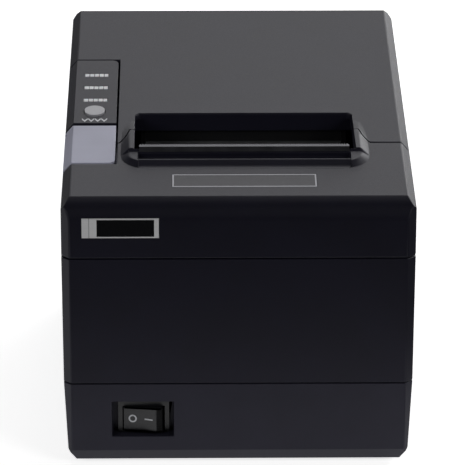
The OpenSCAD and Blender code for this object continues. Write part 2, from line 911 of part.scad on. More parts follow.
module front_cover() {
  color(c_case)
    difference() {
      union() {
        difference() {
          intersection() {
            form(0);
            front_cover_plan();
          }
          form(wall);
        }
        intersection() {
          collar();
          front_cover_plan();
        }
        // floor in front of the paper
        side_plate(slot_x0 - 2, slot_x1 + 2)
          polygon([[mouth_y0 - 3, apron_z0], [slot_y0, apron_z0], [slot_y0, apron_low + 2],
            [mouth_y0 - 3, apron_top]]);
        // thicker top under the collar
        intersection() {
          thick_top(6.8);
          span(scoop_x0 - 2, scoop_x1 + 2, -72, front_cover_y, 0, big);
        }
        intersection() {
          thick_top(6.8);
          tongue(0);
        }
        // ribs behind the skirt
        intersection() {
          form(wall - 0.1);
          for (x = [-30, 0, 30]) {
            span(x - 1, x + 1, yf, yf + 9, cover_front_bottom + 6, cover_bottom);
          }
        }
      }
      // mouth of the slot
      side_plate(slot_x0, slot_x1)
        polygon([[mouth_y0, big], [mouth_y0, apron_top], [slot_y0, apron_low], [slot_y0, 0], [0, 0], [0,
          big]]);
      lever_room(strip_gap);
      // groove for a finger in front of the tear bar, with a rounded front lip
      side_plate(tear_x0 - 0.4, tear_x1 + 0.4)
        polygon(concat([[groove_y1, big], [groove_y1, groove_z], [groove_y1 - 1, groove_z - 0.2],
          [lip_y + 2.2, groove_z + 0.5]],
          [for (p = lip_curve) [lip_y + p[0], top_z(lip_y + p[0]) + p[1]]],
            [[lip_y + lip_curve[len(lip_curve) - 1][0], big]]));
      // seat of the tear bar
      span(tear_x0 - fixed_fit, tear_x1 + fixed_fit, mouth_y0 - tear_t - fixed_fit, mouth_y0 + fixed_fit,
        tear_z0, big);
      // seats of the badge and the notice plate
      span(badge_x0, badge_x1, yf - 1, yf + badge_t, badge_z0, badge_z1);
      on_top(notice_x, notice_y)
        translate([-notice_w/2, -notice_h/2, -notice_t])
          cube([notice_w, notice_h, 5]);
    }
}

badge_x0 = -hw + 8.5;
badge_x1 = badge_x0 + 31.6;
badge_z0 = skirt_h + 0.3625*(front_top_h - skirt_h);
badge_z1 = badge_z0 + 0.3426*(front_top_h - skirt_h);
badge_t = 0.6;
notice_x = 2.6;
notice_y = -78.2;
notice_w = 59.4;
notice_h = 11.6;
notice_t = 0.3;
tear_x0 = -40.8;
tear_x1 = 46.6;
tear_t = 0.8;
groove_y1 = mouth_y0 - tear_t - 0.6;
lip_y = groove_y1 - 6.4;
lip_curve = [[0.8, 1.8], [0.2, 2.12], [-0.3, 2.12], [-0.9, 1.85], [-1.6, 1.35], [-2.5, 0.7], [-3.2,
  0.32], [-4, 0.1], [-4.8, 0.02]];
groove_z = top_z(groove_y1) - 0.3;
tear_z0 = apron_top - 5;
tear_z1 = apron_top + 2.6;
tear_top_t = 0.6;
tear_top_d = 2.2;
tooth_pitch = 1;
tooth_d = 1.3;

module front_cover_plan() {
  span(-hw, hw, yf, front_cover_y, cover_front_bottom, big);
  intersection() {
    tongue(0);
    span(-hw, hw, -60, 0, cover_bottom, big);
  }
}

// bent strip standing in the front edge of the mouth, its teeth pointing back over the paper
module tear_bar() {
  n = floor((tear_x1 - tear_x0)/tooth_pitch);
  y1 = mouth_y0 - tear_t + tear_top_d;
  color(c_steel) {
    span(tear_x0, tear_x1, mouth_y0 - tear_t, mouth_y0, tear_z0 + fixed_fit, tear_z1);
    translate([0, 0, tear_z1 - tear_top_t])
      linear_extrude(height = tear_top_t)
        polygon(concat([[tear_x0, mouth_y0 - tear_t]], [for (k = [0:n - 1]) for (p = [0, 1])
          [tear_x0 + (k + p/2)*tooth_pitch, y1 + p*tooth_d]], [[tear_x1, y1], [tear_x1, mouth_y0 - tear_t]]));
  }
}

module notice_plate() {
  color(c_white)
    on_top(notice_x, notice_y)
      translate([-notice_w/2 + 0.1, -notice_h/2 + 0.1, -notice_t])
        cube([notice_w - 0.2, notice_h - 0.2, notice_t]);
}

module badge_plate() {
  color(c_rubber)
    span(badge_x0 + 0.1, badge_x1 - 0.1, yf + 0.05, yf + badge_t, badge_z0 + 0.1, badge_z1 - 0.1);
}

module paper_cover() {
  lip = 2;
  color(c_case)
    difference() {
      union() {
        difference() {
          intersection() {
            form(0);
            cover_plan();
          }
          form(wall);
        }
        // flange along the control panel, the step behind it and the front edges
        intersection() {
          thick_top(lip_depth);
          union() {
            span(cover_x0, cover_x0 + lip, paper_cover_y, cover_step_y + lip, 0, big);
            span(-hw, cover_x0 + lip, cover_step_y, cover_step_y + lip, 0, big);
            span(slot_x0 - lip - 3, slot_x1 + lip + 3, slot_y1, slot_y1 + lip, 0, big);
            span(slot_x0 - lip, slot_x0, finger_y + seam, slot_y1 + lip, 0, big);
            span(slot_x1, slot_x1 + lip, finger_y + seam, slot_y1 + lip, 0, big);
            span(scoop_x1 + 1, hw, paper_cover_y, paper_cover_y + lip, 0, big);
            span(cover_x0, slot_x0, paper_cover_y, -20, 0, big);
            span(slot_x1, scoop_x1 + 5, paper_cover_y, -20, 0, big);
          }
        }
        intersection() {
          collar();
          cover_plan();
        }
        // hinge arms and knuckles
        for (s = [-1, 1]) {
          intersection() {
            form(wall - 0.1);
            side_plate(s*knuckle_x - knuckle_w/2, s*knuckle_x + knuckle_w/2)
              polygon([[hinge_y - knuckle_r, hinge_z], [hinge_y + 2.4, hinge_z], [hinge_y + 2.4, big],
                [hinge_y - 16, big], [hinge_y - 16, top_z(hinge_y) - 5], [hinge_y - knuckle_r,
                  top_z(hinge_y) - 16]]);
          }
          bar_x(s*knuckle_x - knuckle_w/2, s*knuckle_x + knuckle_w/2, hinge_y, hinge_z, knuckle_r);
        }
      }
      tongue(seam);
      // slot for the receipt
      linear_extrude(height = big)
        polygon([[slot_x0, -60], [slot_x0, slot_y1 - 1.8], [slot_x0 + 1.8, slot_y1], [slot_x1 - 1.8, slot_y1],
          [slot_x1, slot_y1 - 1.8], [slot_x1, -60]]);
      for (s = [-1, 1]) {
        bar_x(s*knuckle_x - pin_len/2, s*knuckle_x + pin_len/2, hinge_y, hinge_z, pin_r + turn_fit);
      }
      // screw pilots for the inner moulding
      for (p = cover_screw_xy) {
        translate([p[0], p[1], 0])
          cylinder(r = screw_r + fixed_fit, h = top_z(p[1]) - 1.2);
      }
    }
}

cover_screw_xy = [[-34, -8], [40, -8], [-34, 14], [40, 14]];

module cover_plan() {
  difference() {
    span(-hw, hw, paper_cover_y, yb, cover_bottom, big);
    span(-hw - 1, cover_x0, -big, cover_step_y, 0, big);
  }
}

module cover_inner() {
  x0 = path_x - cheek_in;
  x1 = path_x + cheek_in - cheek_w;
  color(c_inner)
    difference() {
      union() {
        for (x = [x0, x1]) {
          side_plate(x, x + cheek_w)
            cheek_outline();
        }
        // plate under the cover and the wall that holds the blade
        side_plate(x0, x1 + cheek_w)
          polygon([[inner_y0, under(inner_y0)], [inner_y1, under(inner_y1)], [inner_y1,
            under(inner_y1) - inner_t],
            [inner_back, under(inner_back) - inner_t], [inner_back, blade_seat_z], [inner_y0, blade_seat_z]]);
        // roll guide ribs
        for (x = [-28, -8, 14.4, 34.4]) {
          side_plate(x - 1, x + 1)
            polygon([[inner_back - 0.1, under(inner_back) - inner_t + 0.1], [inner_y1,
              under(inner_y1) - inner_t + 0.1],
              [inner_y1, under(inner_y1) - 5.5], [inner_back - 0.1, blade_seat_z]]);
        }
      }
      bar_x(-hw, hw, platen_y, platen_z, bush_r + fixed_fit);
      for (p = cover_screw_xy) {
        translate([p[0], p[1], 0])
          cylinder(r = screw_r + 0.2, h = 200);
        translate([p[0], p[1], platen_z - 12])
          cylinder(r = screw_head_r + 0.3, h = under(p[1]) - inner_t - platen_z + 12.4);
      }
    }
}

// underside of the paper cover's top, with room for the two to seat face to face
function under(y) = top_z(y) - wall/cos_s - 0.02;
inner_y0 = slot_y1 + 2.3;
inner_back = -6;
inner_y1 = 20;
inner_t = 2;
lip_depth = 8;
blade_seat_z = blade_z + blade_t + blade_gap + 1.1;

module cheek_outline() {
  lip_under = top_z(slot_y1) - lip_depth/cos_s - 0.3;
  polygon([[-23, platen_z + 11], [slot_y1 - 1, lip_under - 0.5], [inner_y0, lip_under], [inner_y0,
    under(inner_y0)],
    [inner_back, under(inner_back)], [inner_back, platen_z - 1], [-11, platen_z - 6.6], [-20, platen_z - 6.6],
    [-22.4, platen_z - 4]]);
}

module cover_screws() {
  color(c_steel)
    for (p = cover_screw_xy) {
      translate([p[0], p[1], under(p[1]) - inner_t + 0.4])
        rotate([180, 0, 0])
          screw(2.8);
    }
}

module hinge_pins() {
  color(c_steel)
    for (s = [-1, 1]) {
      bar_x(s*knuckle_x - pin_len/2, s*knuckle_x + pin_len/2, hinge_y, hinge_z, pin_r);
    }
}

module fixed_blade() {
  x0 = path_x - cheek_in + cheek_w;
  x1 = path_x + cheek_in - cheek_w;
  z0 = blade_z + blade_t + blade_gap;
  color(c_steel)
    side_plate(x0 + 0.05, x1 - 0.05)
      polygon([[fixed_edge_y, z0], [inner_back, z0], [inner_back, z0 + 1.05], [fixed_edge_y + 1.4,
        z0 + 1.05]]);
}

// ---- platen and feed train ----

module platen_bushes() {
  color(c_gear)
    for (s = [-1, 1]) {
      translate([path_x + s*(cheek_in - bush_w/2) - bush_w/2, platen_y, platen_z])
        rotate([0, 90, 0])
          difference() {
            cylinder(r = bush_r, h = bush_w);
            translate([0, 0, -1])
              cylinder(r = shaft_r + fixed_fit, h = bush_w + 2);
          }
    }
}

module platen_shaft() {
  color(c_steel)
    bar_x(gear_x - 0.2, plate_r + plate_t + 1.5, platen_y, platen_z, shaft_r);
}

module platen_rubber() {
  color(c_rubber)
    translate([path_x - rubber_w/2, platen_y, platen_z])
      rotate([0, 90, 0])
        difference() {
          cylinder(r = platen_r, h = rubber_w, $fn = 64);
          translate([0, 0, -1])
            cylinder(r = shaft_r, h = rubber_w + 2);
        }
}

module platen_gear() {
  color(c_gear)
    translate([gear_x, platen_y, platen_z])
      gear_x(gear_m, platen_teeth, gear_w, idler_dir + 180 + 180/platen_teeth, shaft_r);
}

module idler_gear() {
  color(c_gear)
    translate([gear_x, idler_y, idler_z])
      gear_x(gear_m, idler_teeth, gear_w, idler_dir, 2 + fixed_fit);
}

module idler_stud() {
  color(c_steel) {
    bar_x(gear_x - 0.3, plate_l, idler_y, idler_z, 2);
    bar_x(gear_x - 1.3, gear_x - 0.3, idler_y, idler_z, 3.5);
  }
}

module motor_pinion() {
  color(c_steel) {
    translate([gear_x, pinion_y, pinion_z])
      gear_x(gear_m, motor_teeth, gear_w, pinion_dir + 180 + 180/motor_teeth, 1.5);
    bar_x(gear_x, plate_l + plate_t + 2, pinion_y, pinion_z, 1.5);
  }
}

module feed_motor() {
  x0 = plate_l + plate_t;
  r = 15;
  color(c_steel)
    difference() {
      union() {
        span(x0, x0 + 1.2, pinion_y - motor_hole_y - 3, pinion_y + motor_hole_y + 3, pinion_z - 4,
          pinion_z + 2);
        bar_x(x0, x0 + 18, pinion_y, pinion_z, r);
        bar_x(x0 + 18, x0 + 20, pinion_y, pinion_z, 5);
      }
      bar_x(x0 - 1, x0 + 12, pinion_y, pinion_z, 1.5 + 0.3);
      for (s = [-1, 1]) {
        bar_x(x0 - 1, x0 + 3, pinion_y + s*motor_hole_y, pinion_z - 1, screw_r + 0.1);
      }
    }
  color(c_white)
    span(x0 + 18, x0 + 21, pinion_y - 13, pinion_y - 6, pinion_z - 4, pinion_z + 4);
}

// ---- chassis, head and cutter ----

module chassis() {
  color(c_steel)
    difference() {
      union() {
        for (x = [plate_l, plate_r]) {
          side_plate(x, x + plate_t)
            polygon([[chassis_y0, chassis_z0], [chassis_y1, chassis_z0], [chassis_y1, chassis_z1 - 10],
              [-10, chassis_z1],
              [chassis_y0 + 4, chassis_z1], [chassis_y0, chassis_z1 - 4]]);
        }
        span(plate_l, plate_r + plate_t, chassis_y0, chassis_y1, chassis_z0, chassis_z0 + plate_t);
        span(plate_l, plate_r + plate_t, chassis_y0, chassis_y0 + plate_t, chassis_z0, chassis_z1 - 12);
        // wall behind the head springs
        span(plate_l, plate_r + plate_t, spring_wall_y - plate_t, spring_wall_y, chassis_z1 - 20,
          chassis_z1 - 4);
      }
      // notches the platen's shaft drops into
      span(-hw, hw, platen_y - shaft_r - shaft_gap, platen_y + shaft_r + shaft_gap, platen_z, big);
      bar_x(-hw, hw, platen_y, platen_z, shaft_r + shaft_gap);
      bar_x(-hw, hw, latch_y, latch_z, latch_r + 0.3);
      bar_x(plate_l - 1, plate_l + plate_t, pinion_y, pinion_z, 3.2);
      for (s = [-1, 1]) {
        bar_x(plate_l - 1, plate_l + plate_t + 1, pinion_y + s*motor_hole_y, pinion_z - 1, screw_r + 0.1);
      }
      for (p = chassis_screw_xy) {
        translate([p[0], p[1], chassis_z0 - 1])
          cylinder(r = screw_r + 0.2, h = 3);
      }
      // openings that let the motor and the cable through
      span(-20, 30, chassis_y0 - 1, chassis_y0 + 2, chassis_z0 + 6, chassis_z0 + 32);
      span(cutter_x - 16, cutter_x + 16, -70, -30, bed_z - cutter_motor_h, bed_z + 1);
    }
}

spring_wall_y = -42;
chassis_screw_xy = [[-38, -12], [46, -12], [-24, -55], [46, -50]];

module chassis_screws() {
  color(c_steel)
    for (p = chassis_screw_xy) {
      translate([p[0], p[1], chassis_z0 + plate_t])
        screw(5);
    }
}

head_y = platen_y - platen_r - head_gap;

module heat_sink() {
  y1 = head_y - 1;
  color(c_alu)
    difference() {
      span(path_x - 41, path_x + 41, y1 - 8, y1, platen_z - 12, platen_z + 5);
      // fins
      for (k = [0:3]) {
        span(path_x - 50, path_x + 50, y1 - 9, y1 - 3, platen_z - 10.4 + 4*k, platen_z - 8.2 + 4*k);
      }
    }
}

module print_head() {
  color(c_white)
    span(path_x - 40, path_x + 40, head_y - 1, head_y, platen_z - 8, platen_z + 5.5);
}

module head_springs() {
  color(c_steel)
    for (x = [-28, 38]) {
      translate([x, spring_wall_y, platen_z - 5])
        rotate([-90, 0, 0])
          coil(2.6, 0.4, head_y - 9 - spring_wall_y, 5);
    }
}

module cutter_bed() {
  x0 = path_x - 45.4;
  x1 = path_x + 45.4;
  color(c_inner)
    difference() {
      union() {
        span(x0, x1, -57, -27, bed_z, bed_z + bed_t);
        span(plate_l + plate_t, plate_r, -57, -48, bed_z, bed_z + bed_t);
        // feet on the chassis and side guides of the blade
        for (x = [plate_l, plate_r]) {
          span(x, x + plate_t, -56, -48, chassis_z1, bed_z + bed_t);
        }
        for (x = [x0, x1 - 2]) {
          span(x, x + 2, -56, -28, bed_z, blade_z + 1.6);
        }
      }
      translate([cutter_x, cutter_y, 0])
        cylinder(r = 2.4, h = 200);
      // window under the head
      span(path_x - 30, path_x + 10, -54, -47, 0, 200);
    }
}

module moving_blade() {
  w = 83;
  color(c_steel)
    translate([0, 0, blade_z])
      linear_extrude(height = blade_t)
        polygon([[path_x - w/2, blade_back_y], [path_x + w/2, blade_back_y], [path_x + w/2, blade_edge_y - 1],
          [path_x + w/2 - 3, blade_edge_y], [path_x, blade_edge_y - 3], [path_x - w/2 + 3, blade_edge_y],
          [path_x - w/2, blade_edge_y - 1]]);
}

rack_x = cutter_x + cutter_pr;

module blade_rack() {
  p = PI*rack_m;
  z0 = blade_z + blade_t;
  h = 1.9;
  color(c_gear) {
    // teeth face -X along the pinion's pitch line
    translate([0, 0, z0])
      linear_extrude(height = h)
        polygon(concat([for (k = [-4:1]) for (q = [[1.2, -0.3], [-0.02, -0.205], [-0.82, -0.1], [-0.82, 0.1],
          [-0.02, 0.205], [1.2, 0.3]]) [rack_x + q[0]*rack_m, cutter_y + (k + 0.5 + q[1])*p]],
          [[rack_x + 4, cutter_y + 1.9*p], [rack_x + 4, cutter_y - 3.9*p]]));
    span(path_x - 38, path_x + 38, blade_back_y + 1.2, blade_back_y + 5, z0, z0 + 1.4);
  }
}

module cutter_pinion() {
  color(c_gear)
    translate([cutter_x, cutter_y, blade_z + blade_t])
      difference() {
        linear_extrude(height = 1.9)
          gear_outline(rack_m, cutter_teeth);
        translate([0, 0, -1])
          cylinder(r = 1.5, h = 1.6, $fn = 24);
      }
  color(c_steel)
    translate([cutter_x, cutter_y, bed_z - 1.5])
      cylinder(r = 1.5, h = blade_z + blade_t + 0.6 - bed_z + 1.5, $fn = 24);
}

module cutter_motor() {
  color(c_steel)
    translate([cutter_x, cutter_y, bed_z - cutter_motor_h])
      difference() {
        union() {
          cylinder(r = 8, h = cutter_motor_h);
          translate([0, 0, -2])
            cylinder(r = 3, h = 2);
        }
        translate([0, 0, cutter_motor_h - 4])
          cylinder(r = 2, h = 5);
      }
}

module head_cable() {
  color(c_white)
    span(path_x - 22, path_x + 22, head_y - 0.95, head_y - 0.65, chassis_z0 + 8, platen_z - 8.1);
}

// ---- paper bucket and sensors ----

module bucket_void(g) {
  translate([bucket_y, bucket_z])
    circle(r = roll_r + 1.5 + g, $fn = 72);
  translate([bucket_y - roll_r - 1.5 - g, bucket_z])
    square([2*(roll_r + 1.5 + g), 80]);
}

module paper_bucket() {
  x0 = path_x - bucket_w/2;
  x1 = path_x + bucket_w/2;
  color(c_inner)
    difference() {
      union() {
        side_plate(x0 - bucket_t, x1 + bucket_t)
          intersection() {
            bucket_void(bucket_t);
            translate([-50, 0])
              square([200, bucket_top]);
          }
        // ears on the brackets of the casing
        for (p = bucket_screw_xy) {
          px = p[0] > 0 ? x1 : p[0] - 4;
          span(px, px + (p[0] > 0 ? p[0] + 4 - x1 : x0 - p[0] + 4), p[1] - 4, p[1] + 4, ear_z, ear_z + 2);
        }
      }
      side_plate(x0, x1)
        bucket_void(0);
      for (p = bucket_screw_xy) {
        translate([p[0], p[1], 0])
          cylinder(r = screw_r + 0.2, h = ear_z + 10);
      }
      // window of the near-end sensor
      span(x0 - 3, x0 + 1, 16, 24, bucket_z - 25.5, bucket_z - 15.5);
    }
}

bucket_screw_xy = [[-hw + 14.5, 8], [hw - 12.5, 8], [-hw + 14.5, 72], [hw - 12.5, 72]];
ear_z = side_seam - 13.8;

module bucket_screws() {
  color(c_steel)
    for (p = bucket_screw_xy) {
      translate([p[0], p[1], ear_z + 2])
        screw(7);
    }
}

module low_sensor() {
  x0 = path_x - bucket_w/2 - bucket_t;
  color(c_rubber)
    span(x0 - 6, x0, 14, 26, bucket_z - 27.5, bucket_z - 13.5);
}

module end_sensor() {
  color(c_rubber)
    span(path_x - 4, path_x + 4, -7.6, bucket_y - roll_r - 1.5 - bucket_t, bucket_z + 4.5, bucket_z + 11.5);
}

// ---- electronics ----

module main_board() {
  color(c_board)
    difference() {
      span(board_x0, board_x1, board_y0, board_y1, board_z, board_z + board_t);
      for (p = board_screw_xy) {
        translate([p[0], p[1], 0])
          cylinder(r = screw_r + 0.1, h = 40);
      }
    }
}

module board_screws() {
  color(c_steel)
    for (p = board_screw_xy) {
      translate([p[0], p[1], board_z + board_t])
        screw(4);
    }
}

module board_chips() {
  z0 = board_z + board_t;
  color(c_rubber) {
    span(-20, 0, 30, 50, z0, z0 + 1.6);
    span(10, 24, 34, 44, z0, z0 + 1.4);
    span(-44, -34, 34, 44, z0, z0 + 2.2);
  }
  color(c_alu)
    for (p = [[30, 58], [44, 34], [38, 68]]) {
      translate([p[0], p[1], z0])
        cylinder(r = 4, h = 10, $fn = 24);
    }
}

module board_headers() {
  z0 = board_z + board_t;
  color(c_white) {
    span(-30, 14, 12, 17, z0, z0 + 5);
    span(22, 32, 12, 17, z0, z0 + 6);
    span(34, 46, 12, 17, z0, z0 + 6);
    span(-46, -34, 12, 17, z0, z0 + 6);
  }
}

// shell of a rear socket, hollow towards the rear
module socket(s, depth, rim, hollow) {
  z0 = board_z + board_t;
  difference() {
    span(s[0] - s[1]/2, s[0] + s[1]/2, socket_face_y - depth, socket_face_y, z0, z0 + s[2]);
    span(s[0] - s[1]/2 + rim, s[0] + s[1]/2 - rim, socket_face_y - hollow, socket_face_y + 1,
      z0 + rim, z0 + s[2] - rim);
  }
}

module serial_socket() {
  s = sockets[0];
  z0 = board_z + board_t;
  zc = z0 + s[2]/2;
  color(c_steel) {
    span(s[0] - s[1]/2, s[0] + s[1]/2, socket_face_y - 6, socket_face_y - 5, z0, z0 + s[2]);
    span(s[0] - 10, s[0] + 10, socket_face_y - 16, socket_face_y - 6, z0, z0 + s[2]);
    translate([s[0], socket_face_y, zc])
      rotate([90, 0, 0])
        linear_extrude(height = 5)
          polygon([[-8.6, 4.2], [8.6, 4.2], [7.3, -4.2], [-7.3, -4.2]]);
    for (x = [-12.5, 12.5]) {
      bar_y(s[0] + x, zc, socket_face_y - 5, socket_face_y - 0.5, 2.3);
    }
  }
}

module network_socket() {
  color(c_alu)
    socket(sockets[1], 18, 1.6, 12);
}

module usb_socket() {
  s = sockets[2];
  color(c_alu)
    socket(s, 16, 1.2, 9);
  color(c_white)
    span(s[0] - 2.8, s[0] + 2.8, socket_face_y - 9.1, socket_face_y - 1.5, board_z + board_t + 4,
      board_z + board_t + 7);
}

module drawer_socket() {
  color(c_rubber)
    socket(sockets[3], 16, 1.5, 11);
}

module power_socket() {
  s = sockets[4];
  zc = board_z + board_t + s[2]/2;
  color(c_rubber)
    difference() {
      span(s[0] - s[1]/2, s[0] + s[1]/2, socket_face_y - 14, socket_face_y, board_z + board_t,
        board_z + board_t + s[2]);
      bar_y(s[0], zc, socket_face_y - 9, socket_face_y + 1, 4.3);
    }
  color(c_steel)
    for (a = [90, 210, 330]) {
      bar_y(s[0] + 2.2*cos(a), zc + 2.2*sin(a), socket_face_y - 9, socket_face_y - 5.2, 0.5);
    }
}

// ---- power switch ----

bezel_y = yf + pocket_depth;

module power_switch() {
  color(c_rubber)
    difference() {
      union() {
        span(switch_x - bezel_w/2, switch_x + bezel_w/2, bezel_y - bezel_t, bezel_y,
          switch_z - bezel_h/2, switch_z + bezel_h/2);
        span(switch_x - switch_w/2, switch_x + switch_w/2, bezel_y, bezel_y + 15,
          rocker_z - switch_h/2, rocker_z + switch_h/2);
      }
      // hollow the rocker moves in
      span(switch_x - rocker_r - 0.35, switch_x + rocker_r + 0.35, bezel_y - bezel_t - 1,
        rocker_y + rocker_r + 0.4,
        rocker_z - rocker_h/2 - 0.35, rocker_z + rocker_h/2 + 0.35);
    }
  color(c_steel)
    for (x = [-5, 5]) {
      span(switch_x + x - 0.4, switch_x + x + 0.4, bezel_y + 14.9, bezel_y + 22, rocker_z - 2.4,
        rocker_z + 2.4);
    }
}

module power_rocker() {
  color(c_rubber)
    translate([switch_x, rocker_y, rocker_z - rocker_h/2])
      linear_extrude(height = rocker_h)
        rotate([0, 0, -rocker_turn/2])
          intersection() {
            circle(r = rocker_r, $fn = 64);
            polygon([[-9, -3.62], [-7.6, -3.5], [0, -2.7], [5.8, -3.4], [8.2, -2], [9, -1], [4, 4], [-4,
              4], [-9, -1]]);
          }
}

// ---- which sub-parts to draw ----
base_housing();
rubber_feet();
base_screws();
main_housing();
control_panel();
status_windows();
panel_board();
panel_parts();
feed_button();
open_lever();
lever_bracket();
lever_pin();
lever_spring();
front_cover();
tear_bar();
notice_plate();
badge_plate();
paper_cover();
cover_inner();
cover_screws();
hinge_pins();
fixed_blade();
platen_bushes();
platen_rubber();
platen_shaft();
platen_gear();
idler_gear();
idler_stud();
feed_motor();
motor_pinion();
chassis();
chassis_screws();
heat_sink();
print_head();
head_springs();
cutter_bed();
moving_blade();
blade_rack();
cutter_pinion();
cutter_motor();
latch();
latch_spring();
paper_bucket();
bucket_screws();
low_sensor();
end_sensor();
main_board();
board_screws();
board_chips();
board_headers();
power_socket();
usb_socket();
network_socket();
drawer_socket();
serial_socket();
power_switch();
power_rocker();
head_cable();
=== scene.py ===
# %% [markdown]
# # A desktop receipt printer
# This file dresses a receipt printer that is already modelled as solids. The solids
# carry the true sizes and the moving joints. Blender gives them soft edges, small
# fittings and finishes, one step in each cell.

# %% Load the solids
import json
import math

import bmesh
import bpy
from mathutils import Matrix, Vector

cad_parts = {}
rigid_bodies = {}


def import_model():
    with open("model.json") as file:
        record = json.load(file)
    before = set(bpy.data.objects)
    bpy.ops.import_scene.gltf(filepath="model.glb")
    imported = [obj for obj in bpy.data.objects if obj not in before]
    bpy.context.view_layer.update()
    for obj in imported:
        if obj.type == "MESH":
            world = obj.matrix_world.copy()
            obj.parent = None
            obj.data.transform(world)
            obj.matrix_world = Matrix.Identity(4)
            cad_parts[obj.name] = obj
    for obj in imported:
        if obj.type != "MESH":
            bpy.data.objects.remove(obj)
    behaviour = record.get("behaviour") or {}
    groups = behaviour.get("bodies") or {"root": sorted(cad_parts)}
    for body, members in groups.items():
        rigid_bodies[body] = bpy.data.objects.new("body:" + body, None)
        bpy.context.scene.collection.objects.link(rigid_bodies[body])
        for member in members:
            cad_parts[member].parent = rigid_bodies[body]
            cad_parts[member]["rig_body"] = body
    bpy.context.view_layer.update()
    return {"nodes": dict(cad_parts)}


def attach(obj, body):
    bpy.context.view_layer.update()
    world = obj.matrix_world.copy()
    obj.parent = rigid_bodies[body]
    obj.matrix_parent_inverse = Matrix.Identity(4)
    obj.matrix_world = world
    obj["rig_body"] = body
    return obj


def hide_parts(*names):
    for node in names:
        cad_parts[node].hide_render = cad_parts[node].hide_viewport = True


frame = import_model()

MM = 0.001
nodes = frame["nodes"]


def linked(name, data):
    """New object with this data, in the scene."""
    made = bpy.data.objects.new(name, data)
    bpy.context.collection.objects.link(made)
    return made


def settled(piece):
    """Makes what the modifiers give the piece's own mesh."""
    drawn_out = piece.evaluated_get(bpy.context.evaluated_depsgraph_get())
    mesh = bpy.data.meshes.new_from_object(drawn_out)
    piece.modifiers.clear()
    piece.data = mesh
    return mesh


# %% [markdown]
# ## Camera
# The view is from the front, a little to the left and about 21 degrees above the
# counter. A long lens keeps the sides of the casing nearly parallel. The camera is
# placed from three angles and a distance, because those are easier to read than a
# position and a quaternion.

# %% Camera
LOOK_AT = Vector((0, -8.5, 65)) * MM
SIDE_ANGLE = math.radians(-0.8356)
LIFT_ANGLE = math.radians(20.709)
ROLL_ANGLE = math.radians(0.1178)
DISTANCE = 1515.58 * MM
OFF_CENTRE = Vector((-1.2416, 4.5739)) * MM

back = Vector((
    math.sin(SIDE_ANGLE) * math.cos(LIFT_ANGLE),
    -math.cos(SIDE_ANGLE) * math.cos(LIFT_ANGLE),
    math.sin(LIFT_ANGLE),
))
level = (-back).cross(Vector((0, 0, 1))).normalized()
above = level.cross(-back)
right = level * math.cos(ROLL_ANGLE) + above * math.sin(ROLL_ANGLE)
up = above * math.cos(ROLL_ANGLE) - level * math.sin(ROLL_ANGLE)

lens = bpy.data.cameras.new("camera")
lens.lens = 270
lens.sensor_width = 36
lens.clip_start = 0.05
lens.clip_end = 20
camera = linked("camera", lens)
camera.matrix_world = Matrix((right, up, back)).transposed().to_4x4()
camera.location = LOOK_AT + back * DISTANCE + right * OFF_CENTRE.x + up * OFF_CENTRE.y
bpy.context.scene.camera = camera
print("camera at", [round(v / MM, 1) for v in camera.location])

# %% [markdown]
# ## Shader sums as plain sums
# A node tree is easier to read as a formula. `Wire` wraps one output socket, and its
# operators add Math nodes, so `1 - mask` works. `Plan` adds every other node: its
# type, its settings, then what feeds its sockets.

# %% Wires and plans
class Wire:
    """One output socket. Arithmetic on it adds Math nodes."""

    def __init__(self, plan, socket):
        self.plan = plan
        self.socket = socket

    def maths(self, operation, *feeds):
        return self.plan.node("ShaderNodeMath", {"operation": operation}, feeds)

    def __add__(self, other):
        return self.maths("ADD", self, other)

    def __sub__(self, other):
        return self.maths("SUBTRACT", self, other)

    def __rsub__(self, other):
        return self.maths("SUBTRACT", other, self)

    def __mul__(self, other):
        return self.maths("MULTIPLY", self, other)

    def __gt__(self, other):
        return self.maths("GREATER_THAN", self, other)

    def __lt__(self, other):
        return self.maths("LESS_THAN", self, other)

    def __mod__(self, other):
        return self.maths("MODULO", self, other)

    def __abs__(self):
        return self.maths("ABSOLUTE", self)

    def or_more(self, other):
        return self.maths("MAXIMUM", self, other)

    def inside(self, low, high):
        """1 between two values, else 0."""
        return (self > low) * (self < high)

    __radd__ = __add__
    __rmul__ = __mul__


class Plan:
    """A node tree being written, for a finish or for geometry."""

    def __init__(self, tree):
        self.tree = tree

    def node(self, kind, settings=None, feeds=(), take=0):
        made = self.tree.nodes.new(kind)
        for key, value in (settings or {}).items():
            setattr(made, key, value)
        pairs = feeds.items() if isinstance(feeds, dict) else enumerate(feeds)
        for key, value in pairs:
            self.feed(made.inputs[key], value)
        return Wire(self, made.outputs[take])

    def feed(self, socket, value):
        if isinstance(value, Wire):
            self.tree.links.new(value.socket, socket)
        else:
            if socket.type == "RGBA" and len(value) == 3:
                value = (*value, 1)
            socket.default_value = value


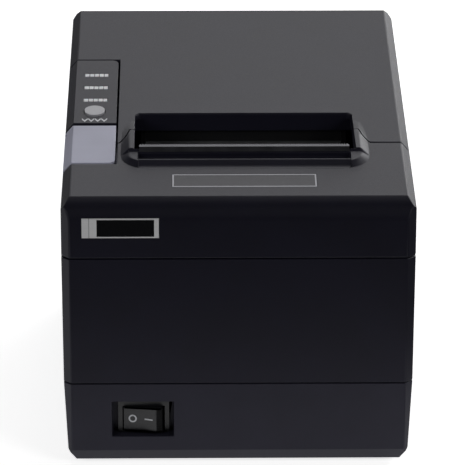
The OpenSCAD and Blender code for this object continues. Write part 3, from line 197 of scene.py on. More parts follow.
class Finish(Plan):
    """A material with one Principled shader."""

    def __init__(self, name, colour, roughness, metallic=0.0, **fixed):
        self.material = bpy.data.materials.new(name)
        self.material.use_nodes = True
        super().__init__(self.material.node_tree)
        self.shader = self.tree.nodes["Principled BSDF"]
        self.place = self.node("ShaderNodeTexCoord", take="Object")
        self.set(base_color=colour, roughness=roughness, metallic=metallic, **fixed)

    def set(self, **feeds):
        for key, value in feeds.items():
            words = key.replace("_", " ").title().replace("Ior", "IOR")
            self.feed(self.shader.inputs[words], value)
        return self

    def scaled(self, x, y, z):
        """Object coordinates in metres, times these scales."""
        feeds = (self.place, (x, y, z))
        return self.node("ShaderNodeVectorMath", {"operation": "MULTIPLY"}, feeds)

    def axis(self, name):
        return self.node("ShaderNodeSeparateXYZ", None, (self.place,), take=name)

    def noise(self, scale, detail=2, rough=0.5, stretch=(1, 1, 1)):
        """Values about 0.5, with features of about 1 / scale metres."""
        feeds = {"Vector": self.scaled(*stretch), "Scale": scale,
                 "Detail": detail, "Roughness": rough}
        return self.node("ShaderNodeTexNoise", None, feeds)

    def cells(self, scale, take="Distance"):
        feeds = {"Vector": self.place, "Scale": scale}
        return self.node("ShaderNodeTexVoronoi", None, feeds, take)

    def ramp(self, wire, low, high, start=0.0, end=1.0):
        """Maps start..end to low..high, clamped."""
        return self.node("ShaderNodeMapRange", None, (wire, start, end, low, high))

    def colours(self, mask, first, second):
        """The first colour where the mask is 0, the second where it is 1."""
        feeds = {0: mask, 6: first, 7: second}
        return self.node("ShaderNodeMix", {"data_type": "RGBA"}, feeds, take=2)

    def bump(self, height, depth):
        """Height from 0 to 1 stands for this depth in metres."""
        feeds = {"Height": height, "Strength": 1.0, "Distance": depth}
        return self.node("ShaderNodeBump", None, feeds)


print("wires and plans ready")

# %% [markdown]
# ## Moulded plastic
# The casing is black ABS from a spark-eroded mould, so its skin is a fine even grain.
# The grain could be real geometry, but it is finer than a hair, so a Bump node is the
# right tool. Every pattern reads Object coordinates: they are metres in the shared
# frame, so the grain has a true size and stays put when a piece moves.

# %% Plastic finishes
GRAIN = 0.00042
COOL = (0.93, 0.92, 1.0)


def moulded(name, colour, roughness, gloss=0.5, grain=GRAIN, depth=0.00002, spread=0.12,
            tint=(1, 1, 1)):
    """Grained plastic. spread is how far the colour drifts in broad patches."""
    made = Finish(name, colour, roughness, specular_ior_level=gloss, specular_tint=tint)
    patches = made.ramp(made.noise(45, 3), 0, 1, 0.35, 0.65)
    grains = made.noise(1 / grain, 2, 0.6)
    pits = made.cells(0.45 / grain)
    darker = tuple(c * (1 - spread) for c in colour)
    lighter = tuple(c * (1 + spread) for c in colour)
    made.set(base_color=made.colours(patches, darker, lighter))
    made.set(roughness=made.ramp(grains, roughness - 0.05, roughness + 0.05, 0.3, 0.7))
    made.set(normal=made.bump(grains * 0.6 + pits * 0.4, depth))
    return made.material


casing_black = moulded("casing_black", (0.0050, 0.0048, 0.0112), 0.5, 0.265, tint=COOL)
base_black = moulded("base_black", (0.0150, 0.0146, 0.0240), 0.5, 0.275, tint=COOL)
# Painted shade: the inner mouldings are black plastic, and their colour is set darker than the
# casing's, so the inside of the paper slot and the holes of the serial socket read as shadow.
inner_black = moulded("inner_black", (0.003, 0.003, 0.0036), 0.6, 0.15, 0.0008, 0.00001)
lever_grey = moulded("lever_grey", (0.43, 0.435, 0.545), 0.5, 0.4, spread=0.04)
button_grey = moulded("button_grey", (0.40, 0.40, 0.43), 0.4, 0.5, spread=0.04)
switch_black = moulded("switch_black", (0.012, 0.012, 0.014), 0.4, 0.5, 0.0006, 0.000006)
foot_rubber = moulded("foot_rubber", (0.013, 0.013, 0.013), 0.8, 0.3, 0.0009, 0.00003)
nylon_white = moulded("nylon_white", (0.72, 0.70, 0.64), 0.38, 0.5, 0.0006, 0.000006, 0.03)
chip_black = moulded("chip_black", (0.02, 0.02, 0.021), 0.6, 0.4, 0.0003, 0.00001)
gear_acetal = moulded("gear_acetal", (0.78, 0.76, 0.69), 0.35, 0.5, 0.0009, 0.000006, 0.03)
print("plastic finishes:", 10)

# %% [markdown]
# ## Metal
# Sheet steel is rolled, then zinc plated: long faint scratches over soft pale and dark
# clouds. Stretching a noise along one axis makes the scratches. Ground blades have
# shorter, straighter lines, and an extrusion has lines along its length.

# %% Metal finishes
def drawn(name, colour, roughness, stretch, depth=0.000004, clouds=120, spread=0.12):
    """Metal whose scratches run along the axis with the smallest stretch."""
    made = Finish(name, colour, roughness, 1.0)
    lines = made.noise(1, 3, 0.6, stretch)
    mottle = made.ramp(made.noise(clouds, 2), 0, 1, 0.35, 0.65)
    darker = tuple(c * (1 - spread) for c in colour)
    worn = lines * 0.8 + mottle * 0.2
    made.set(base_color=made.colours(mottle, darker, colour))
    made.set(roughness=made.ramp(worn, roughness - 0.04, roughness + 0.05, 0.35, 0.65))
    made.set(normal=made.bump(lines, depth))
    return made.material


zinc_steel = drawn("zinc_steel", (0.58, 0.59, 0.61), 0.38, (60, 60, 2200))
turned_steel = drawn("turned_steel", (0.50, 0.50, 0.51), 0.38, (2600, 90, 90), 0.000002)
spring_steel = drawn("spring_steel", (0.45, 0.45, 0.46), 0.3, (900, 900, 900))
ground_steel = drawn("ground_steel", (0.46, 0.47, 0.49), 0.46, (400, 2400, 2400), 0.000001,
                     spread=0.05)
brushed_bar = drawn("brushed_bar", (0.10, 0.10, 0.11), 0.55, (60, 2600, 2600), spread=0.2)
extruded_aluminium = drawn("extruded_aluminium", (0.74, 0.75, 0.77), 0.36, (25, 1800, 1800))
tin_plate = drawn("tin_plate", (0.66, 0.66, 0.65), 0.3, (300, 300, 300), clouds=300)
gold_pin = drawn("gold_pin", (0.72, 0.52, 0.22), 0.28, (900, 900, 900))
print("metal finishes:", 8)

# %% [markdown]
# ## Finishes with a drawn pattern
# Some surfaces carry a regular pattern: copper tracks under the green lacquer of a
# board, the heater line of the print head, the wires of a flat cable, the bars that
# part a status window, the border of the notice card, the frame of the badge, the ribs
# of the rocker. Each pattern is a sum on the coordinates in metres, written with the
# operators of `Wire`.

# %% Patterned finishes
BADGE_LOW, BADGE_HIGH = (-0.0639, 0.1016), (-0.0325, 0.1100)
CARD_X, CARD_Y = 0.0026, -0.0782
HEATER_Z = 0.102
TRACK_PITCH, TRACK_WIDTH = 0.00127, 0.00045


def band(wire, pitch, width):
    """1 inside stripes of this width that repeat at this pitch, in metres.

    The metre that is added keeps the remainder positive.
    """
    return abs((wire + 1.0) % pitch - pitch / 2) < width / 2


def board_lacquer():
    made = Finish("board_lacquer", (0.01, 0.10, 0.045), 0.3)
    across, deep = made.axis("X"), made.axis("Y")
    region = made.cells(95, take="Color")
    pick = made.node("ShaderNodeSeparateColor", None, (region,))
    tracks_x = band(deep, TRACK_PITCH, TRACK_WIDTH) * (pick > 0.55)
    tracks_y = band(across, TRACK_PITCH, TRACK_WIDTH) * (pick < 0.4)
    tracks = tracks_x.or_more(tracks_y)
    holes = made.cells(330)
    pads = (holes < 0.14) * (pick > 0.3)
    green = made.colours(tracks, (0.006, 0.075, 0.034), (0.02, 0.17, 0.075))
    made.set(base_color=made.colours(pads, green, (0.55, 0.5, 0.36)))
    made.set(metallic=pads * 0.9, normal=made.bump(tracks * 0.6 + pads * 0.4, 0.00004))
    return made.material


def head_glaze():
    made = Finish("head_glaze", (0.62, 0.60, 0.55), 0.15)
    across, height = made.axis("X"), made.axis("Z")
    heater = abs(height - HEATER_Z) < 0.0005
    leads = band(across, 0.0008, 0.0004) * (height > 0.0965) * (height < 0.1015)
    base = made.colours(leads, (0.62, 0.60, 0.55), (0.42, 0.30, 0.12))
    made.set(base_color=made.colours(heater, base, (0.05, 0.035, 0.03)))
    made.set(roughness=made.ramp(made.noise(400), 0.1, 0.22))
    made.set(normal=made.bump(heater + leads * 0.3, 0.00003))
    return made.material


def flat_cable():
    made = Finish("flat_cable", (0.75, 0.75, 0.74), 0.35)
    wires = band(made.axis("X"), 0.001, 0.0006)
    made.set(base_color=made.colours(wires, (0.78, 0.78, 0.76), (0.50, 0.50, 0.50)))
    made.set(normal=made.bump(wires, 0.00005))
    return made.material


def ground_rubber():
    made = Finish("ground_rubber", (0.03, 0.03, 0.031), 0.6, specular_ior_level=0.35)
    rings = made.noise(1, 3, 0.6, (2600, 40, 40))
    patches = made.ramp(made.noise(90), 0, 1, 0.4, 0.6)
    made.set(base_color=made.colours(patches, (0.024, 0.024, 0.025), (0.04, 0.04, 0.041)))
    made.set(roughness=made.ramp(rings, 0.52, 0.7, 0.3, 0.7), normal=made.bump(rings, 0.00001))
    return made.material


def frosted_window():
    made = Finish("frosted_window", (0.74, 0.75, 0.78), 0.32, subsurface_weight=0.15,
                  subsurface_scale=0.001)
    prisms = made.cells(2600)
    bars = band(made.axis("X") + 0.00022, 0.00208, 0.00042)
    patches = made.ramp(made.noise(200), 0, 1, 0.4, 0.6)
    frost = made.colours(patches, (0.66, 0.67, 0.70), (0.76, 0.77, 0.79))
    made.set(base_color=made.colours(bars, frost, (0.16, 0.16, 0.18)))
    made.set(normal=made.bump(prisms * 0.3 + (1 - bars) * 0.7, 0.00008))
    made.set(roughness=made.ramp(prisms, 0.26, 0.4))
    return made.material


def bordered_card():
    """Dark card with a thin pale border and nothing printed inside."""
    made = Finish("bordered_card", (0.008, 0.008, 0.011), 0.5, specular_ior_level=0.34,
                  specular_tint=COOL)
    across = abs(made.axis("X") - CARD_X)
    deep = abs(made.axis("Y") - CARD_Y)
    inside = (across < 0.02900) * (deep < 0.00505)
    line = (1 - inside) * (across < 0.02960) * (deep < 0.00575)
    patches = made.ramp(made.noise(150, 2), 0, 1, 0.4, 0.6)
    card = made.colours(patches, (0.0085, 0.0085, 0.0115), (0.012, 0.012, 0.016))
    made.set(base_color=made.colours(line, card, (0.50, 0.50, 0.54)))
    made.set(normal=made.bump(made.noise(2400) * 0.3 + line * 0.7, 0.00002))
    made.set(roughness=made.ramp(made.noise(900), 0.44, 0.54))
    return made.material


def framed_badge():
    """Black badge in a silver frame that is wide at its left end. It carries no name."""
    made = Finish("framed_badge", (0.01, 0.01, 0.01), 0.3)
    across, height = made.axis("X"), made.axis("Z")
    (left, foot), (end, head) = BADGE_LOW, BADGE_HIGH
    field = across.inside(left + 0.0061, end - 0.0019)
    field = field * height.inside(foot + 0.00055, head - 0.00055)
    shaded_groove = across.inside(left + 0.0028, left + 0.0031)
    brushed = made.noise(1, 2, 0.5, (40, 2600, 2600))
    silver = made.colours(brushed, (0.76, 0.76, 0.77), (0.88, 0.88, 0.89))
    # Painted shade: the groove is a shallow dip in the bump, and its silver is coloured darker.
    silver = made.colours(shaded_groove, silver, (0.42, 0.42, 0.43))
    made.set(base_color=made.colours(field, silver, (0.007, 0.007, 0.008)))
    made.set(roughness=made.ramp(field, 0.42, 0.22), metallic=(1 - field) * 0.1)
    made.set(normal=made.bump((1 - field) * 0.8 - shaded_groove * 0.4 + brushed * 0.05, 0.00008))
    return made.material


def ribbed_grip():
    """Matt ribbed end of the rocker, which a finger presses. Its grooves are coloured darker than
    its ribs, as painted shade.
    """
    made = Finish("ribbed_grip", (0.008, 0.008, 0.009), 0.65, specular_ior_level=0.12)
    grooves_with_shade = band(made.axis("Z"), 0.0011, 0.00045)
    # Painted shade: the grooves between the ribs are coloured darker than the ribs.
    made.set(base_color=made.colours(grooves_with_shade, (0.008, 0.008, 0.009), (0.003, 0.003, 0.003)))
    made.set(roughness=made.ramp(made.noise(1500), 0.6, 0.75))
    made.set(normal=made.bump((1 - grooves_with_shade) * 0.8 + made.noise(2400) * 0.1, 0.00012))
    return made.material


lacquer = board_lacquer()
glaze = head_glaze()
ribbon = flat_cable()
platen_black = ground_rubber()
window = frosted_window()
notice_card = bordered_card()
badge_silver = framed_badge()
rocker_grip = ribbed_grip()
print("patterned finishes:", 8)

# %% [markdown]
# ## Which finish goes where
# The solids keep their shapes, so most of them only need the finish of their
# material. One dictionary says which piece wears what.

# %% Dress the solids
WEARS = {
    casing_black: "main_housing control_panel front_cover paper_cover",
    base_black: "base_housing",
    inner_black: "cover_inner paper_bucket cutter_bed low_sensor end_sensor",
    lever_grey: "open_lever",
    button_grey: "feed_button",
    switch_black: "power_switch power_rocker drawer_socket power_socket panel_parts",
    badge_silver: "badge_plate",
    notice_card: "notice_plate",
    foot_rubber: "rubber_feet",
    nylon_white: "board_headers",
    chip_black: "board_chips",
    gear_acetal: "platen_bushes platen_gear idler_gear blade_rack cutter_pinion",
    zinc_steel: "chassis lever_bracket latch feed_motor cutter_motor",
    turned_steel: "platen_shaft idler_stud hinge_pins lever_pin motor_pinion base_screws "
    "cover_screws chassis_screws bucket_screws board_screws",
    spring_steel: "lever_spring latch_spring head_springs",
    ground_steel: "fixed_blade moving_blade",
    brushed_bar: "tear_bar",
    extruded_aluminium: "heat_sink",
    tin_plate: "usb_socket network_socket serial_socket",
    lacquer: "main_board panel_board",
    glaze: "print_head",
    ribbon: "head_cable",
    platen_black: "platen_rubber",
    window: "status_windows",
}
for finish, names in WEARS.items():
    for name in names.split():
        nodes[name].data.materials.clear()
        nodes[name].data.materials.append(finish)
print("dressed:", sum(len(names.split()) for names in WEARS.values()), "of", len(nodes))

# %% [markdown]
# ## Solids of two materials
# A few bought parts are one solid here but two materials on the bench: a steel pin in
# a black socket, a white plug on a steel motor, tinned capacitors beside black chips. A
# second material slot is enough. Each face picks its slot from where its middle is.

# %% Second materials
def part_dressed(node, finish, belongs):
    """Gives the faces whose middle, in millimetres, passes the test a second finish."""
    mesh = nodes[node].data
    mesh.materials.append(finish)
    changed = 0
    for face in mesh.polygons:
        x, y, z = (v / MM for v in face.center)
        if belongs(x, y, z):
            face.material_index = 1
            changed += 1
    print(node, "has", changed, "faces in", finish.name)


part_dressed("feed_motor", nylon_white, lambda x, y, z: x > -27.6 and y < -44 and z > 66)
part_dressed("board_chips", tin_plate, lambda x, y, z: z > 14 and x > 25)
part_dressed("usb_socket", nylon_white,
             lambda x, y, z: abs(x - 11) < 2.85 and 15.5 < z < 18.7 and y < 96.2)
part_dressed("power_socket", turned_steel,
             lambda x, y, z: abs(x - 49) < 2.8 and abs(z - 17.1) < 2.8 and 88.4 < y < 92.4)
part_dressed("power_switch", tin_plate, lambda x, y, z: y > -76.6)
part_dressed("panel_parts", nylon_white, lambda x, y, z: y > -3)

# %% [markdown]
# ## Soft edges on moulded pieces
# No moulded edge is truly sharp, and the thin highlight along an edge is what makes a
# casing look real. A Bevel modifier could round every edge, but one width would fold
# over itself at thin ribs. So a copy of each solid is merged, its flat faces are
# joined, and each edge gets its own bevel weight from the shortest edge beside it.
# Curves that the solid draws in small steps are shaded smooth.

# %% Soften one solid
SMOOTH_BELOW = math.radians(20)
FLAT_BELOW = math.radians(0.4)
SAME_POINT = 0.002 * MM
ROOM_SHARE = 0.35
SMALL_EDGE, COVER_EDGE = 0.35 * MM, 0.55 * MM


def edge_room(edge):
    """Length of the shortest edge that meets this one."""
    room = edge.calc_length()
    for end in edge.verts:
        for other in end.link_edges:
            if other is not edge:
                room = min(room, other.calc_length())
    return room


def softened(node, width=SMALL_EDGE):
    """Copy of a solid with soft edges, which stands for it and rides on its body."""
    source = nodes[node]
    mesh = bpy.data.meshes.new(node + "_soft")
    work = bmesh.new()
    work.from_mesh(source.data)
    bmesh.ops.remove_doubles(work, verts=work.verts, dist=SAME_POINT)
    bmesh.ops.dissolve_limit(work, angle_limit=FLAT_BELOW, verts=work.verts, edges=work.edges)
    weights = work.edges.layers.float.new("bevel_weight_edge")
    for edge in work.edges:
        bend = edge.calc_face_angle(0) if len(edge.link_faces) == 2 else 0
        edge.smooth = bend < SMOOTH_BELOW
        if not edge.smooth:
            edge[weights] = min(1, ROOM_SHARE * edge_room(edge) / width)
    for face in work.faces:
        face.smooth = True
    work.to_mesh(mesh)
    work.free()
    piece = linked(node + "_soft", mesh)
    bevel = piece.modifiers.new("soft edges", "BEVEL")
    bevel.limit_method = "WEIGHT"
    bevel.width = width
    bevel.segments = 2
    bevel.use_clamp_overlap = False
    bevel.harden_normals = True
    level = piece.modifiers.new("even shading", "WEIGHTED_NORMAL")
    level.keep_sharp = True
    level.weight = 100
    skin = settled(piece)
    skin.materials.clear()
    skin.materials.append(source.data.materials[0])
    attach(piece, source["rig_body"])
    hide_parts(node)
    return piece


soft = {}
for node in "base_housing main_housing control_panel open_lever feed_button power_rocker".split():
    soft[node] = softened(node)
for node in "front_cover paper_cover".split():
    soft[node] = softened(node, COVER_EDGE)
GRIP_TURN, GRIP_FRONT = 0.2, -93 * MM
grip = soft["power_rocker"].data
grip.materials.append(rocker_grip)
for face in grip.polygons:
    if face.normal.x > GRIP_TURN and face.center.y < GRIP_FRONT:
        face.material_index = 1
for node in soft:
    print(node, "has", len(soft[node].data.polygons), "faces")

# %% [markdown]
# ## Printed marks
# The panel has a printed sign beside the feed button, and the power switch has the
# usual ring and dash.
# They could be a texture, but a real print is a thin layer, and as thin meshes they
# stay sharp in any view. Each mark is a flat outline given a thickness along the
# normal of the surface that it lies on.

# %% Marks on the panel and the switch
TOP_SLOPE = math.radians(6.5)
TOP_NORMAL = Vector((0, -math.sin(TOP_SLOPE), math.cos(TOP_SLOPE)))
FRONT_TOP_Y, FRONT_TOP_Z = -92.1, 117.5
INK = 0.04 * MM
mark_white = moulded("mark_white", (0.62, 0.63, 0.66), 0.5, 0.4, 0.0003, 0.000004, 0.03)


def top_point(x, y):
    """Point on the sloping top, in metres, from millimetres."""
    return Vector((x, y, FRONT_TOP_Z + (y - FRONT_TOP_Y) * math.tan(TOP_SLOPE))) * MM


def printed(name, body, rings, place, normal):
    """Flat strips with thickness.

    rings are loops of outer and inner points, and place puts a point on the surface.
    """
    work = bmesh.new()
    for outer, inner in rings:
        count = len(outer)
        low_out = [work.verts.new(place(*p)) for p in outer]
        low_in = [work.verts.new(place(*p)) for p in inner]
        high_out = [work.verts.new(v.co + normal * INK) for v in low_out]
        high_in = [work.verts.new(v.co + normal * INK) for v in low_in]
        for k in range(count):
            n = (k + 1) % count
            work.faces.new((high_out[k], high_out[n], high_in[n], high_in[k]))
            work.faces.new((low_out[n], low_out[k], low_in[k], low_in[n]))
            work.faces.new((low_out[k], low_out[n], high_out[n], high_out[k]))
            work.faces.new((low_in[n], low_in[k], high_in[k], high_in[n]))
    bmesh.ops.recalc_face_normals(work, faces=work.faces)
    mesh = bpy.data.meshes.new(name)
    work.to_mesh(mesh)
    work.free()
    mesh.materials.append(mark_white)
    piece = linked(name, mesh)
    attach(piece, body)
    print(name, "has", len(mesh.polygons), "faces")


ARM_INSET = 0.05


def chevron(x, wide, deep, stroke):
    """Outline of an arrow head that points to the front, as an outer and an inner loop."""
    left, end, rear, tip = x - wide / 2, x + wide / 2, deep / 2, -deep / 2
    outer = [(left, rear), (left, rear - stroke), (x, tip),
             (end, rear - stroke), (end, rear), (x, tip + stroke)]
    left_arm = (left + ARM_INSET, rear - stroke / 2)
    right_arm = (end - ARM_INSET, rear - stroke / 2)
    middle = (x, tip + stroke / 2)
    return outer, [left_arm, left_arm, middle, right_arm, right_arm, middle]


FEED_X, FEED_Y = -60.2, -20.3
ARROW_PITCH = 2.75
arrows = [chevron(ARROW_PITCH * k, 2.5, 3.6, 1.5) for k in (-1.5, -0.5, 0.5, 1.5)]
printed("feed_mark", "body", arrows, lambda x, y: top_point(FEED_X + x, FEED_Y + y), TOP_NORMAL)

ROCKER_AXIS, ROCKER_TURN = Vector((-39.3, -92.0, 19.75)), math.radians(-12)
ROCKER_FACE = -2.7
# Slope of each wing, from its rise and its run
LEFT_WING = math.atan2(0.8, 7.6)
RIGHT_WING = -math.atan2(0.7, 5.8)
RING_X, RING_OUTER, RING_INNER, RING_POINTS = -4.0, 1.72, 1.08, 40


def on_rocker(slope):
    """Returns the placing function and normal of one wing of the rocker's face."""
    turn = Matrix.Rotation(ROCKER_TURN, 3, "Z")

    def place(u, h):
        flat = Vector((u, ROCKER_FACE + u * math.tan(slope), 0))
        return (ROCKER_AXIS + turn @ flat + Vector((0, 0, h))) * MM

    return place, turn @ Vector((math.sin(slope), -math.cos(slope), 0))


def ring_loop(radius):
    """Points round the ring mark, in millimetres on the wing."""
    turns = [math.tau * k / RING_POINTS for k in range(RING_POINTS)]
    return [(radius * math.cos(turn) + RING_X, radius * math.sin(turn)) for turn in turns]


ring = (ring_loop(RING_OUTER), ring_loop(RING_INNER))
printed("off_ring", "rocker", [ring], *on_rocker(LEFT_WING))
dash = [(1.0, -0.3), (4.5, -0.3), (4.5, 0.3), (1.0, 0.3)]
seam_line = [(1.3, 0), (4.2, 0), (4.2, 0), (1.3, 0)]
printed("on_dash", "rocker", [(dash, seam_line)], *on_rocker(RIGHT_WING))

# %% [markdown]
# ## Rows of pins and contacts
# Sockets, chips and plug strips are full of small equal pins. Copying each by hand is
# slow, so one Geometry Nodes tree lays them out: a line of points, a second line on
# each of them, and one pin on every point. It ends in Realize Instances and Set
# Material, because only real faces can be exported. The pins then become a plain mesh.

# %% A tree for rows
class Tree(Plan):
    """Geometry nodes with named inputs."""

    def __init__(self, name, inputs):
        super().__init__(bpy.data.node_groups.new(name, "GeometryNodeTree"))
        self.keys = {}
        for title, kind in inputs.items():
            self.keys[title] = self.socket(title, "INPUT", kind).identifier
        self.socket("Geometry", "OUTPUT", "Geometry")
        self.start = self.tree.nodes.new("NodeGroupInput")

    def socket(self, title, side, kind):
        face = self.tree.interface
        return face.new_socket(title, in_out=side, socket_type="NodeSocket" + kind)

    def given(self, title):
        return Wire(self, self.start.outputs[title])

    def ends_in(self, wire):
        self.feed(self.tree.nodes.new("NodeGroupOutput").inputs["Geometry"], wire)

    def grown(self, name, body, values):
        """Runs the tree on an empty piece and keeps the result as a plain mesh."""
        piece = linked(name, bpy.data.meshes.new(name))
        modifier = piece.modifiers.new("rows", "NODES")
        modifier.node_group = self.tree
        for title, value in values.items():
            modifier[self.keys[title]] = value
        settled(piece)
        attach(piece, body)
        return piece


ROW_INPUTS = {"First": "Vector", "Across": "Int", "Step": "Vector", "Rows": "Int",
              "Row step": "Vector", "Size": "Vector", "Finish": "Material"}


def row_tree(name, shape):
    """Rows of one shape, which is a function from the tree to a mesh."""
    tree = Tree(name, ROW_INPUTS)
    along = tree.node("GeometryNodeMeshLine", {"mode": "OFFSET"}, {
        "Count": tree.given("Across"), "Start Location": tree.given("First"),
        "Offset": tree.given("Step")})
    rows = tree.node("GeometryNodeMeshLine", {"mode": "OFFSET"}, {
        "Count": tree.given("Rows"), "Offset": tree.given("Row step")})
    places = tree.node("GeometryNodeInstanceOnPoints", None, {"Points": along, "Instance": rows})
    places = tree.node("GeometryNodeRealizeInstances", None, {"Geometry": places})
    pins = tree.node("GeometryNodeInstanceOnPoints", None, {
        "Points": places, "Instance": shape(tree), "Scale": tree.given("Size")})
    pins = tree.node("GeometryNodeRealizeInstances", None, {"Geometry": pins})
    tree.ends_in(tree.node("GeometryNodeSetMaterial", None, {
        "Geometry": pins, "Material": tree.given("Finish")}))
    return tree


def flat_pin(tree):
    return tree.node("GeometryNodeMeshCube", None, {"Size": (1, 1, 1)})


def round_pin(tree):
    """Stud of unit size, narrower at its top."""
    return tree.node("GeometryNodeMeshCone", None, {
        "Vertices": 12, "Radius Top": 0.3, "Radius Bottom": 0.5, "Depth": 1.0})


flat_rows = row_tree("flat_rows", flat_pin)
round_rows = row_tree("round_rows", round_pin)
print("trees:", flat_rows.tree.name, round_rows.tree.name)

# %% [markdown]
# ## Contacts, legs and joints
# Each entry of the table is one set: the piece's name, its tree and finish, the first
# pin's middle, how many along and how far apart, how many rows and how far apart, and
# the size of a pin, all in millimetres. Legs stand on the board, contacts sit inside
# the sockets, and solder joints show under the board. The holes of the serial socket
# are thin dark patches on its face, painted shade in place of the holes.

# %% Rows on the main board
ROWS = [
    ("network_contacts", flat_rows, gold_pin,
     (-12.57, 90.5, 22.6), 8, (1.02, 0, 0), 1, (0, 0, 0), (0.45, 8.6, 0.4)),
    ("drawer_contacts", flat_rows, gold_pin,
     (26.83, 90.5, 20.6), 6, (1.27, 0, 0), 1, (0, 0, 0), (0.5, 8.0, 0.4)),
    ("usb_contacts", flat_rows, gold_pin,
     (9.2, 92.2, 18.7), 2, (3.6, 0, 0), 1, (0, 0, 0), (1.0, 6.5, 0.12)),
    # Painted shade: thin dark patches on the serial socket's face stand in for its holes.
    ("serial_holes_wide", flat_rows, inner_black,
     (-43.48, 97.5, 19.3), 5, (2.74, 0, 0), 1, (0, 0, 0), (1.1, 0.06, 1.1)),
    ("serial_holes_narrow", flat_rows, inner_black,
     (-42.11, 97.5, 16.4), 4, (2.74, 0, 0), 1, (0, 0, 0), (1.1, 0.06, 1.1)),
    ("processor_legs_x", flat_rows, tin_plate,
     (-18.55, 29.3, 12.0), 20, (0.9, 0, 0), 2, (0, 21.4, 0), (0.4, 1.5, 0.8)),
    ("processor_legs_y", flat_rows, tin_plate,
     (-20.7, 31.45, 12.0), 20, (0, 0.9, 0), 2, (21.4, 0, 0), (1.5, 0.4, 0.8)),
    ("driver_legs", flat_rows, tin_plate,
     (11.3, 33.4, 12.0), 10, (1.27, 0, 0), 2, (0, 11.2, 0), (0.45, 1.3, 0.8)),
    ("regulator_legs", flat_rows, tin_plate,
     (-42.4, 32.8, 12.0), 5, (1.7, 0, 0), 1, (0, 0, 0), (0.8, 2.6, 0.8)),
    ("small_resistors", flat_rows, chip_black,
     (-44, 56, 11.85), 9, (2.6, 0, 0), 4, (0, 2.4, 0), (0.9, 1.6, 0.5)),
    ("small_capacitors", flat_rows, tin_plate,
     (-12, 56, 11.95), 10, (2.8, 0, 0), 3, (0, 2.6, 0), (1.6, 0.9, 0.7)),
    ("strip_pins", flat_rows, gold_pin,
     (-28.4, 13.4, 17.9), 17, (2.54, 0, 0), 2, (0, 2.54, 0), (0.6, 0.6, 1.0)),
    ("joints_front", round_rows, tin_plate,
     (-28.4, 13.4, 9.8), 17, (2.54, 0, 0), 2, (0, 2.54, 0), (1.5, 1.5, 0.5)),
    ("joints_rear", round_rows, tin_plate,
     (-46, 84, 9.8), 36, (2.7, 0, 0), 2, (0, 2.54, 0), (1.5, 1.5, 0.5)),
]
for name, tree, finish, first, across, step, rows, row_step, size in ROWS:
    values = {"First": Vector(first) * MM, "Across": across, "Step": Vector(step) * MM,
              "Rows": rows, "Row step": Vector(row_step) * MM, "Size": Vector(size) * MM,
              "Finish": finish}
    piece = tree.grown(name, "body", values)
    print(name, "has", len(piece.data.polygons), "faces")

# %% [markdown]
# ## Stage
# The machine stands on a plain pale floor that keeps its shadow. Black plastic shows
# mainly what it mirrors, so what stands round it matters as much as the lamps. A
# studio hangs black cloth just out of view to keep the upright faces deep. Here the
# cloth is hidden from the camera, so the room stays white in any view, and lamps
# shine through it, so it casts no shadow on the floor.

# %% Floor and room
REACH = 3.0
FLOOR_GLOW = 0.75
AMBIENT = 0.25


def ray_kinds(plan, *names):
    """1 for rays of any of these kinds, else 0."""
    rays = plan.node("ShaderNodeLightPath")
    found = [Wire(plan, rays.socket.node.outputs[name]) for name in names]
    mask = found[0]
    for other in found[1:]:
        mask = mask.or_more(other)
    return mask


def seen_directly(plan):
    """1 for rays that the camera, a mirror or a glass sends out, else 0."""
    return ray_kinds(plan, "Is Camera Ray", "Is Glossy Ray", "Is Transmission Ray")


def sheet(name, corners, material):
    """Flat rectangle of the stage, lying or standing."""
    mesh = bpy.data.meshes.new(name)
    mesh.from_pydata(corners, [], [(0, 1, 2, 3)])
    mesh.materials.append(material)
    made = linked(name, mesh)


def lying(x0, x1, y0, y1, z):
    return [(x0, y0, z), (x1, y0, z), (x1, y1, z), (x0, y1, z)]


pale = Finish("pale_floor", (0.86, 0.86, 0.86), 0.9, specular_ior_level=0.0,
              emission_color=(1, 1, 1))
pale.set(emission_strength=seen_directly(pale) * FLOOR_GLOW)
sheet("floor", lying(-REACH, REACH, -REACH, REACH, 0), pale.material)

sky = bpy.data.worlds.new("sky")
sky.use_nodes = True
bpy.context.scene.world = sky
air = Plan(sky.node_tree)
background = sky.node_tree.nodes["Background"]
air.feed(background.inputs["Color"], (1, 1, 1))
air.feed(background.inputs["Strength"], seen_directly(air) * (1 - AMBIENT) + AMBIENT)
print("floor glow", FLOOR_GLOW, "ambient", AMBIENT)

# %% [markdown]
# ## Black cloth
# Five pieces of cloth: one on the floor in front and one on its right, a curtain in
# front, one on the left, and a ceiling from the front curtain to a metre behind the
# machine. A Mix Shader swaps the cloth for a Transparent shader when the camera or a
# lamp looks at it, and also from behind, so the floor below it is lit as usual.

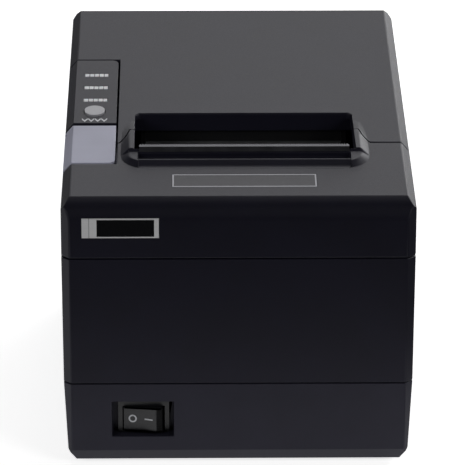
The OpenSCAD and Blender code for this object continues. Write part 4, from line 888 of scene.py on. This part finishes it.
# %% Cloth that only reflections see
FLOOR_FRONT = -205 * MM
RIGHT_EDGE = 140 * MM
RIGHT_END, RIGHT_REAR = 1.2, 0.4
CLOTH_Z = 1 * MM
ROOM = 2.2
LEFT_X, LEFT_FRONT, LEFT_TOP = -0.9, -0.3, 1.0
CEILING_REAR = 1.0
cloth = Finish("black_cloth", (0.02, 0.02, 0.022), 0.9, specular_ior_level=0.0)
facing = cloth.node("ShaderNodeNewGeometry", take="Backfacing")
hidden = ray_kinds(cloth, "Is Camera Ray", "Is Shadow Ray").or_more(facing)
clear = cloth.node("ShaderNodeBsdfTransparent")
black = Wire(cloth, cloth.shader.outputs[0])
shown = cloth.node("ShaderNodeMixShader", None, {0: hidden, 1: black, 2: clear})
cloth.feed(cloth.tree.nodes["Material Output"].inputs["Surface"], shown)

sheet("front_cloth", lying(-REACH, REACH, -REACH, FLOOR_FRONT, CLOTH_Z), cloth.material)
sheet("right_cloth", lying(RIGHT_EDGE, RIGHT_END, FLOOR_FRONT, RIGHT_REAR, CLOTH_Z), cloth.material)
sheet("front_curtain", [(-REACH, -ROOM, ROOM), (REACH, -ROOM, ROOM),
                        (REACH, -ROOM, 0), (-REACH, -ROOM, 0)], cloth.material)
sheet("left_curtain", [(LEFT_X, LEFT_FRONT, 0), (LEFT_X, REACH, 0),
                       (LEFT_X, REACH, LEFT_TOP), (LEFT_X, LEFT_FRONT, LEFT_TOP)], cloth.material)
sheet("dark_ceiling", [(-REACH, CEILING_REAR, ROOM), (REACH, CEILING_REAR, ROOM),
                       (REACH, -ROOM, ROOM), (-REACH, -ROOM, ROOM)], cloth.material)
print("pieces of cloth:", 5)

# %% [markdown]
# ## Lamps
# Soft area lamps. The one above and behind lights the top and its grey parts, two on
# the right draw the edges there, and two at the front corners light the upright faces
# without a streak on the curved front edge.

# %% Lamps
LAMPS = {  # place, aim, size in metres, power in watts
    "overhead": ((0.2, 1.1, 1.5), (0, 0, 0.1), (1.2, 0.8), 8),
    "right_side": ((1.3, 0.5, 0.7), (0, 0, 0.1), (0.6, 0.6), 5),
    "right_rear": ((1.05, 2.1, 0.6), (0, 0, 0.1), (0.8, 0.5), 9),
    "front_left": ((-1.3, -1.3, 0.9), (0, 0, 0.08), (0.7, 0.7), 9),
    "front_right": ((1.3, -1.3, 0.9), (0, 0, 0.08), (0.7, 0.7), 8),
}
for name, (place, aim, size, power) in LAMPS.items():
    data = bpy.data.lights.new(name, "AREA")
    data.shape = "RECTANGLE"
    data.size, data.size_y = size
    data.energy = power
    made = linked(name, data)
    made.location = place
    made.rotation_euler = (Vector(aim) - Vector(place)).to_track_quat("-Z", "Y").to_euler()
bpy.context.scene.view_settings.view_transform = "Standard"
print("lamps:", len(LAMPS))
